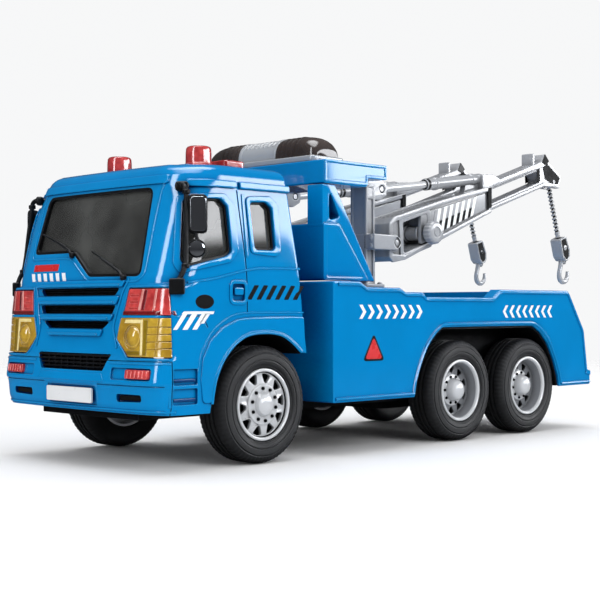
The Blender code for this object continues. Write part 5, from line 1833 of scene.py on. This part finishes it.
def boom_marks():
    """Black details, hazard stripes and painted shade at the tip's head, all moving with the boom."""
    trim = [
        on_ram([(39.4, 2.9), (39.4, 3.08), (41.2, 3.08), (41.2, 2.9)]),
        on_ram([(90.6, 0.0), (90.4, 1.6), (92.6, 1.9), (94.4, 1.7), (94.6, 0.0)]),
    ]
    dark, middle, light = [], [], []
    band = [(181.6, 119.2), (184.6, 120.1), (184.6, 130.8), (181.6, 130.2)]
    for xs, band_xs in zip(pair(37.2, 37.48), ((37.9, 38.1), (21.82, 22.18))):
        for k in range(7):
            y = 134.0 + k * 5.0
            dark.append(side_plate(xs, stripe(y, 0.0, 2.5, 0.03, 0.47)))
            middle.append(side_plate(xs, stripe(y, 0.0, 2.5, 0.53, 0.97)))
            light.append(side_plate(xs, stripe(y, 2.5, 5.0, 0.03, 0.97)))
        dark.append(side_plate(band_xs, band))
    # the black triangle with its edge, and the black gusset and upright patches at the tip's head,
    # are painted shade
    triangle = [(236.6, 148.6), (239.5, 153.7), (243.5, 149.9), (241.0, 147.0)]
    gusset = [
        (238.4, 146.6), (243.0, 148.6), (256.0, 141.2), (253.6, 137.4), (246.0, 137.8),
        (240.8, 139.6),
    ]
    upright = [(233.2, 137.0), (236.0, 138.0), (235.4, 145.4), (232.6, 144.2)]
    ranges = zip(pair(34.5, 35.02), ((34.9, 35.06), (25.0, 25.14)), pair(33.9, 34.14))
    for raised_xs, edge_xs, flat_xs in ranges:
        trim.append(side_plate(raised_xs, rounded(inset(triangle, 0.3), 0.5), edge=0.15))
        dark += [
            side_plate(edge_xs, rounded(triangle, 0.3)),
            side_plate(flat_xs, rounded(gusset, 0.5)),
            side_plate(flat_xs, upright),
        ]
    both_sides(merge(trim, BLACK), "boom_dark_trim", BOOM)
    both_sides(merge(dark, INK_BLACK), "boom_hazard_stripes", BOOM)
    both_sides(merge(light, INK_WHITE), "boom_light_stripes", BOOM)
    both_sides(merge(middle, GREY), "boom_grey_stripes", BOOM)


def ram_rod():
    """A polished rod with a clevis eye."""
    rod = [(66.0, 0.0), (65.6, 1.6), (65.2, 1.95), (5.0, 1.95), (4.4, 2.3), (2.4, 2.5), (0.0, 2.4)]
    eye = [
        (34.9, 0.0), (34.9, 1.2), (34.6, 1.5), (32.4, 1.5), (32.4, 2.9), (32.1, 3.2), (27.9, 3.2),
        (27.6, 2.9), (27.6, 1.5), (25.4, 1.5), (25.1, 1.2), (25.1, 0.0),
    ]
    pieces = [on_ram(rod), turned(eye, 32, RAM_PIVOT)]
    both_sides(merge(pieces, STEEL), "ram_rod", "ram_{side}", "ram_rod")


# x, radius of the knob and the flanged drum
WINCH_PROFILE = [
    (44.8, 0.0), (44.8, 1.6), (44.4, 1.9), (44.4, 2.6), (44.8, 2.9), (44.8, 4.4), (44.5, 5.0),
    (43.8, 5.7), (43.3, 5.8), (40.7, 5.8), (40.2, 5.6), (39.5, 4.9), (39.4, 4.4), (39.4, 1.8),
    (35.1, 1.8), (35.0, 4.3), (34.7, 4.5), (34.1, 4.5), (33.8, 4.3), (33.8, 3.0), (26.2, 3.0),
    (26.2, 4.3), (25.9, 4.5), (25.3, 4.5), (25.0, 4.3), (25.0, 1.8), (21.2, 1.8), (21.0, 1.6),
    (21.0, 0.0),
]


def knurl(step, along, radius):
    """Grooves across the knob's outer rows."""
    return along, radius - (0.35 if radius > 5.5 and step % 4 < 2 else 0.0)


def winch():
    spool = turned(WINCH_PROFILE, 72, WINCH_AXIS, wave=knurl)
    both_sides(merge([spool], GREY), "winch", "winch_spool_{side}", "winch")
    turns, steps, radius = 10, 20, 3.25
    coil = []
    for k in range(turns * steps + 1):
        turn = k / steps
        angle = 2 * math.pi * turn
        coil.append((
            26.6 + 6.8 * turn / turns,
            WINCH_AXIS[0] + radius * math.cos(angle), WINCH_AXIS[1] + radius * math.sin(angle),
        ))
    both_sides(tube(coil, 0.34, sides=1, mat=CORD), "winch_cord", "winch_spool_{side}")


# ------------------------------------------------------------------ hoist lines and hooks
def by_line(distance, across=0.0):
    """A (y, z) place down the hoist line from its pivot, and across it."""
    length = math.hypot(*LINE_DIRECTION)
    run_y, run_z = LINE_DIRECTION[0] / length, LINE_DIRECTION[1] / length
    return (
        LINE_PIVOT[0] + run_y * distance - run_z * across,
        LINE_PIVOT[1] + run_z * distance + run_y * across,
    )


def line_tube(start, end, radius, mat=None):
    """A straight tube along the hoist line."""
    return tube([(BOOM_X, *by_line(start)), (BOOM_X, *by_line(end))], radius, mat=mat)


def hoist_line():
    """A wire wound about a black core, which is painted shade between the turns, the pulley at its
    head and a ferrule.
    """
    turns, steps, start, length = 13, 12, 2.6, 31.6
    helix = []
    for k in range(turns * steps + 1):
        turn = k / steps
        angle = 2 * math.pi * turn
        distance = start + (length - start) * turn / turns
        helix.append((BOOM_X + math.sin(angle), *by_line(distance, math.cos(angle))))
    pulley = [
        (34.4, 0.0), (34.4, 1.15), (32.1, 1.15), (32.0, 2.3), (31.8, 2.4), (31.2, 2.4), (30.8, 1.7),
        (29.2, 1.7), (28.8, 2.4), (28.2, 2.4), (28.0, 2.3), (27.9, 1.15), (25.6, 1.15), (25.6, 0.0),
    ]
    # the black core is painted shade between the wire's turns
    core = line_tube(0.6, 34.6, 0.8, INK_BLACK)
    pieces = [
        tube(helix, 0.62, sides=1), turned(pulley, 28, LINE_PIVOT), line_tube(29.6, 33.0, 1.3),
    ]
    both_sides(merge(pieces, CORD), "hoist_line", "hoist_line_{side}", "line")
    both_sides(core, "hoist_line_core", "hoist_line_{side}")


def tow_hook():
    loop = [
        by_line(33.5, -3.3), by_line(33.5, 3.3), by_line(42.0, 4.5), by_line(46.0, 3.2),
        by_line(47.3, 1.2), by_line(47.3, -1.4), by_line(44.0, -3.4),
    ]
    weight = side_plate(about(BOOM_X, 3.3), rounded(loop, 1.1), edge=0.7)
    cut(weight, line_tube(28.0, 45.4, 1.75))
    pieces = [weight]
    for (x0, x1), end in zip(pair(32.9, 33.55), (33.8, 26.2)):
        rim = (rounded(loop, 1.1), rounded(inset(loop, 1.0), 0.8))
        pieces.append(side_plate((x0, x1), *rim, edge=0.25))
        pieces.append(turned([(x0, 1.7), (x1, 1.5), (end, 0.0)], 20, by_line(39.6, 0.3)))
    # y, z of the hook's curve; its thickness at each point
    curve = [
        by_line(45.6), (262.9, 91.8), (262.6, 90.0), (261.5, 87.4), (261.2, 84.6), (262.2, 82.3),
        (264.6, 81.2), (267.2, 81.5), (269.2, 83.1), (270.0, 85.4), (269.6, 87.6),
    ]
    taper = [1.0, 1.0, 0.95, 0.95, 1.0, 1.1, 1.12, 1.05, 0.95, 0.8, 0.6]
    pieces.append(tube([(BOOM_X, *point) for point in curve], 1.35, smooth=True, taper=taper))
    collar = turned([(-1.3, 0.0), (-1.3, 1.9), (-0.9, 2.2), (0.9, 2.2), (1.3, 1.9), (1.3, 0.0)], 24)
    tilt = Matrix.Rotation(math.radians(251.5), 4, "X")
    pieces.append(turn_about(collar, (BOOM_X, *by_line(47.6, -0.1)), tilt @ X_TO_Y))
    both_sides(merge(pieces, GREY), "tow_hook", "tow_hook_{side}", "hook")
    recess = rounded(inset(loop, 1.1), 0.7)
    faces = [side_plate(xs, recess) for xs in pair(33.2, 33.38)]
    both_sides(merge(faces, INK_BLACK), "tow_hook_recess", "tow_hook_{side}")


# ------------------------------------------------------------------ wheels
TREAD_STEPS = 288
WHEEL_TURN = {"front": 6, "middle": 17, "rear": -9}      # degrees about the axle
# all profiles are (x, radius); the tyre runs from the inner bead round to the outer one
TYRE = [
    (40.0, 15.7), (39.8, 17.5), (39.5, 20.4), (39.8, 22.2), (40.5, 23.7), (41.3, 24.5), (42.4, 24.9),
    (44.6, 25.0), (44.8, 24.2), (45.9, 24.2), (46.1, 25.0), (47.2, 25.0), (47.4, 24.2), (48.5, 24.2),
    (48.7, 25.0), (49.8, 25.0), (50.0, 24.2), (51.1, 24.2), (51.3, 25.0), (52.9, 24.95),
    (53.9, 24.6), (54.7, 23.9), (55.2, 23.0), (55.5, 22.2), (55.35, 22.0), (55.4, 21.7),
    (55.75, 21.4), (55.9, 20.2), (55.85, 19.2), (55.6, 19.0), (55.6, 18.7), (55.8, 18.4),
    (55.7, 17.4), (55.3, 16.6), (55.1, 16.4), (55.1, 16.1), (54.8, 15.7),
]
RIM_INNER = [
    (40.1, 1.9), (40.1, 5.0), (46.2, 5.0), (46.2, 12.9), (46.0, 14.6), (46.4, 14.6), (46.9, 5.6),
    (46.9, 1.9),
]
FRONT_RIM = [
    (40.3, 14.2), (40.3, 15.3), (40.6, 15.4), (55.0, 15.4), (55.4, 15.1), (55.5, 14.6), (55.3, 14.1),
    (54.6, 13.9), (54.0, 14.1), (51.6, 14.2),
]
FRONT_HUB = [
    (53.7, 8.9), (54.7, 8.7), (55.0, 8.3), (55.0, 5.3), (55.6, 4.8), (56.5, 4.3), (57.0, 3.4),
    (57.3, 2.0), (57.4, 0.0),
]
REAR_RIM = [
    (40.3, 14.2), (40.3, 15.3), (40.6, 15.4), (55.0, 15.4), (55.4, 15.1), (55.5, 14.6), (55.2, 14.0),
    (54.6, 13.7), (50.2, 13.1), (48.0, 12.7), (46.9, 12.6),
]
REAR_HUB = [
    (49.0, 8.2), (49.8, 7.9), (50.1, 7.4), (50.3, 5.9), (51.4, 5.4), (53.2, 4.9), (54.2, 4.2),
    (54.8, 3.0), (55.1, 1.5), (55.2, 0.0),
]
REAR_DISH_WALL = [
    (54.2, 13.5), (50.2, 12.98), (48.0, 12.58), (47.6, 12.55), (47.6, 12.8), (48.0, 12.85),
    (50.2, 13.25), (54.2, 13.75),
]


def tread(step, along, radius):
    """Notches on both shoulders of the tread and shallow ones across it."""
    if radius >= 22.8 and (along < 44.7 or along > 51.2) and step % 4 in (2, 3):
        return along, radius - 0.22
    if radius >= 24.9 and step % 8 in (6, 7):
        return along, radius - 0.15
    return along, radius


def holed_disc(xs, hole_in, hole_out, radius, wide, cone):
    """A disc with ten holes between radii hole_in and hole_out, as wide there as `wide`
    says. Inside the radius cone[0] it rises outwards by the slope cone[1]."""
    loops = [circle(0, 0, radius, 64)]
    turn_in, turn_out = wide[0] / hole_in / 2, wide[1] / hole_out / 2
    corners = (
        (hole_in, -turn_in), (hole_out, -turn_out), (hole_out * 1.012, 0.0), (hole_out, turn_out),
        (hole_in, turn_in),
    )
    for i in range(10):
        angle = 2 * math.pi * i / 10
        loop = [(r * math.cos(angle + turn), r * math.sin(angle + turn)) for r, turn in corners]
        loops.append(rounded(loop, 0.8, 3))
    rise = lambda x, y, z: (x + max(0.0, cone[0] - math.hypot(y, z)) * cone[1], y, z)
    return conform(side_plate(xs, *loops, edge=0.35), rise)


def lug_ring(radius, x, size):
    """Ten six-sided nuts round the hub."""
    profile = [(x - 1.2, size), (x - 0.25, size), (x, size * 0.75), (x + 0.1, 0.0)]
    angles = [2 * math.pi * (i + 0.5) / 10 for i in range(10)]
    return [turned(profile, 6, (radius * math.cos(a), radius * math.sin(a))) for a in angles]


def front_wheel():
    """Silver pieces and black pieces of a front wheel; the black ones are painted shade. It has no
    dish.
    """
    metal = [
        turned(FRONT_RIM, 72, closed=True),
        holed_disc((52.0, 53.7), 9.2, 13.1, 14.3, wide=(1.3, 5.4), cone=(13.0, 0.13)),
        turned(FRONT_HUB, 48),
        turned([(50.2, 0.0), (50.2, 2.4), (52.0, 5.0), (52.0, 9.2)], 32),
    ]
    # black disc behind the holes, black ring in the gap at the disc's rim and black nuts: painted
    # shade
    groove = [(53.72, 13.5), (53.95, 13.55), (53.95, 14.3), (53.72, 14.3)]
    dark = [turned([(50.6, 0.0), (50.6, 14.3), (50.2, 14.3)], 48), turned(groove, 72, closed=True)]
    return metal, dark + lug_ring(6.9, x=55.9, size=0.75), []


def rear_wheel():
    """Silver, black and dish pieces of a middle or rear wheel; the black ones and the darker dish are
    painted shade.
    """
    metal = [turned(REAR_RIM, 72, closed=True), turned(REAR_HUB, 48)]
    # black disc behind the holes and black nuts: painted shade
    dark = [turned([(47.3, 0.0), (47.3, 12.9), (46.8, 12.9)], 48)]
    # the dish takes a darker silver: painted shade inside it
    dish = [
        holed_disc((48.0, 49.2), 8.6, 11.9, 12.9, wide=(1.3, 4.6), cone=(8.6, 0.25)),
        turned(REAR_DISH_WALL, 72, closed=True),
    ]
    return metal, dark + lug_ring(6.7, x=50.9, size=0.7), dish


def wheels(which):
    tyre = turned(TYRE, TREAD_STEPS, closed=True, wave=tread, mat=RUBBER)
    metal, dark, dish = front_wheel() if which == "front" else rear_wheel()
    metal.append(turned(RIM_INNER, 40, closed=True))
    pieces = [
        (tyre, "tyre", which + "_tyre"),
        (merge(metal, SILVER), "rim", which + "_rim"),
        (merge(dark, INK_BLACK), "rim_painted_shade", None),
    ]
    if dish:
        pieces.append((merge(dish, SHADED_DISH), "rim_dish", None))
    turn = Matrix.Rotation(math.radians(WHEEL_TURN[which]), 4, "X")
    axle = Matrix.Translation(world(0, AXLE_Y[which], AXLE_Z))
    for obj, _, _ in pieces:
        obj.data.transform(axle @ turn @ Matrix.Translation(-ORIGIN))
    for obj, name, node in pieces:
        both_sides(obj, f"{which}_{name}", which + "_wheels", node, angle=30)


def underside():
    """Leaf springs at the two rear axles, and side rails under the cab end of the body."""
    for which in ("middle", "rear"):
        axle_y = AXLE_Y[which]
        leaves = []
        for x in (36.2, -36.2):
            for k in range(4):
                start, end = about(axle_y, 22 - k * 3)
                path = [(x, start, 30.6), (x, axle_y, 28.6 - k * 1.1), (x, end, 30.6)]
                leaves.append(tube(path, 0.55, sides=1))
        finish(merge(leaves, BLACK_MATT), which + "_leaf_springs")
    loop = rounded([(44.0, 30.0), (44.0, 33.4), (96.0, 33.4), (96.0, 30.0)], 0.8)
    rails = [side_plate((side * 52.0, side * 54.6), loop, edge=0.4) for side in (1, -1)]
    finish(merge(rails, BLACK_MATT), "chassis_side_rails")


for build in (
    cab_shell, cab_side_trim, door_handle, cab_steps, fender_flare, wheel_well, cab_arch_lining,
    glazing, windscreen_border, grille_louvres, grille_insert,
    headlamp_red, headlamp_amber, headlamp_details,
    front_bumper, bumper_trim, indicator, number_plate, wipers, cab_marks,
    roof_beacons, roof_button, roof_mouldings, side_mirror, mirror_glass,
    rear_body, rear_arch, body_marks, deck_and_tail, headboard, cross_beam, light_bar,
    mast, boom, boom_marks, ram_rod, winch, hoist_line, tow_hook,
):
    build()
for which in AXLE_Y:
    wheels(which)
underside()


# ------------------------------------------------------------------ stage, in metres
def floor_material():
    """Pale and matt. It fades into the backdrop with distance, and is dim in reflections
    like a floor beyond the light."""
    mat, graph = new_material("studio_floor")
    place = graph.place()
    soft = graph.noise(place, scale=3.0, detail=2.0)
    matt = graph.add("BsdfPrincipled", {
        "Base Color": graph.mix(soft, (0.86, 0.865, 0.87), (0.9, 0.9, 0.905)),
        "Roughness": 0.75, "Specular IOR Level": 0.1,
    })
    distance = graph.add("VectorMath", {0: place}, operation="LENGTH").outputs["Value"]
    clear = graph.add("BsdfTransparent")
    dim = graph.add("BsdfDiffuse", {"Color": (0.10, 0.10, 0.105)})
    glossy = graph.add("LightPath").outputs["Is Glossy Ray"]
    seen = graph.add("MixShader", {0: glossy, 1: matt, 2: dim})
    fade = graph.span(distance, start=0.32, end=1.1)
    graph.surface(graph.add("MixShader", {0: fade, 1: seen, 2: clear}))
    return mat


def studio_floor():
    size, count, z = 6.0, 24, -0.0003
    mat = floor_material()
    shape = bmesh.new()
    places = [size * (i / count - 0.5) for i in range(count + 1)]
    grid = [[shape.verts.new((x, y, z)) for y in places] for x in places]
    for i in range(count):
        for j in range(count):
            corners = (grid[i][j], grid[i + 1][j], grid[i + 1][j + 1], grid[i][j + 1])
            shape.faces.new(corners)
    floor = from_bmesh(shape, mat)
    floor.name = "studio_floor"


def studio_world():
    """A flat backdrop for the camera, soft light for matt surfaces, and a dark room with
    three bright cards for reflections. Angles are in degrees."""
    sky = bpy.data.worlds.new("studio")
    sky.use_nodes = True
    SCENE.world = sky
    graph = Graph(sky.node_tree)
    generated = graph.add("TexCoord").outputs["Generated"]
    direction = graph.add("VectorMath", {0: generated}, operation="NORMALIZE")
    x, y, z = graph.add("SeparateXYZ", {0: direction}).outputs
    degrees = 180 / math.pi
    azimuth = graph.math("MULTIPLY", graph.math("ARCTAN2", y, x), degrees)  # 0 is +X, 90 is +Y
    elevation = graph.math("MULTIPLY", graph.math("ARCSINE", z), degrees)

    rise = graph.span(elevation, start=-8.0, end=70.0)
    around = graph.mix(rise, (0.40, 0.40, 0.41), (0.80, 0.80, 0.80))
    # the card off the truck's left side has a lower edge that drops towards the rear
    low_edge = graph.math(
        "MINIMUM",
        graph.span(azimuth, start=41.7, end=45.3, low=8.4, high=7.95),
        graph.span(azimuth, start=45.6, end=46.6, low=8.0, high=5.0),
    )
    side_card = graph.band(azimuth, fade_in=(3.0, 8.0), fade_out=(78.0, 66.0))
    above = graph.span(graph.math("SUBTRACT", elevation, low_edge), start=-0.25, end=0.35)
    side_card = graph.math("MULTIPLY", side_card, above)
    below = graph.span(elevation, start=25.0, end=20.0)
    side_card = graph.math("MULTIPLY", side_card, below)
    front_card = graph.math(
        "MULTIPLY",
        graph.band(azimuth, fade_in=(-97.0, -94.0), fade_out=(-82.0, -85.0)),
        graph.band(elevation, fade_in=(2.0, 8.0), fade_out=(60.0, 48.0)),
    )
    top_card = graph.math("MULTIPLY", graph.span(elevation, start=60.0, end=70.0), 1.0)
    room = graph.span(elevation, start=-20.0, end=60.0)
    shine = graph.mix(room, (0.02, 0.02, 0.022), (0.14, 0.14, 0.15))
    shine = graph.mix(top_card, shine, (8.0, 8.1, 8.3))
    shine = graph.mix(side_card, shine, (12.0, 12.2, 12.6))
    shine = graph.mix(front_card, shine, (11.0, 11.3, 11.8))

    ray = graph.add("LightPath").outputs
    backdrop, soft, mirror = (
        graph.add("Background", {"Color": colour, "Strength": 1.0})
        for colour in ((0.93, 0.935, 0.94), around, shine)
    )
    lit = graph.add("MixShader", {0: ray["Is Glossy Ray"], 1: soft, 2: mirror})
    shader = graph.add("MixShader", {0: ray["Is Camera Ray"], 1: lit, 2: backdrop})
    graph.add("OutputWorld", {"Surface": shader})


def area_light(name, place, target, size, power):
    data = bpy.data.lights.new(name, "AREA")
    data.shape = "RECTANGLE"
    data.size, data.size_y = size
    data.energy = power
    light = bpy.data.objects.new(name, data)
    SCENE.collection.objects.link(light)
    light.location = place
    light.visible_glossy = False
    light.rotation_mode = "QUATERNION"
    aim = Vector(target) - Vector(place)
    light.rotation_quaternion = aim.to_track_quat("-Z", "Y")


def add_camera():
    data = bpy.data.cameras.new("camera")
    data.sensor_width = 36.0
    data.lens = 76.35
    data.clip_start, data.clip_end = 0.05, 20.0
    camera = bpy.data.objects.new("camera", data)
    SCENE.collection.objects.link(camera)
    heading, dip = math.radians(44.83), math.radians(-0.42)
    forward = Vector((
        -math.sin(heading) * math.cos(dip), math.cos(heading) * math.cos(dip), -math.sin(dip),
    ))
    camera.location = (0.44602, -0.47656, 0.06532)
    camera.rotation_mode = "QUATERNION"
    camera.rotation_quaternion = forward.to_track_quat("-Z", "Y")
    SCENE.camera = camera


studio_floor()
studio_world()
area_light("key_side", place=(1.3, -0.15, 0.75), target=(0, 0, 0.06), size=(0.9, 0.7), power=7.5)
area_light(
    "fill_front", place=(0.25, -1.5, 0.7), target=(0, -0.1, 0.06), size=(0.9, 0.6), power=5.5,
)
area_light("top_soft", place=(-0.1, 0.1, 1.4), target=(0, 0, 0.05), size=(1.1, 1.1), power=8.0)
area_light("back_rim", place=(-0.9, 1.2, 0.9), target=(0, 0, 0.08), size=(0.8, 0.5), power=4.0)
add_camera()

SCENE.view_settings.view_transform = "Standard"
SCENE.view_settings.look = "None"
SCENE.view_settings.exposure = 0.0
SCENE.view_settings.gamma = 1.0
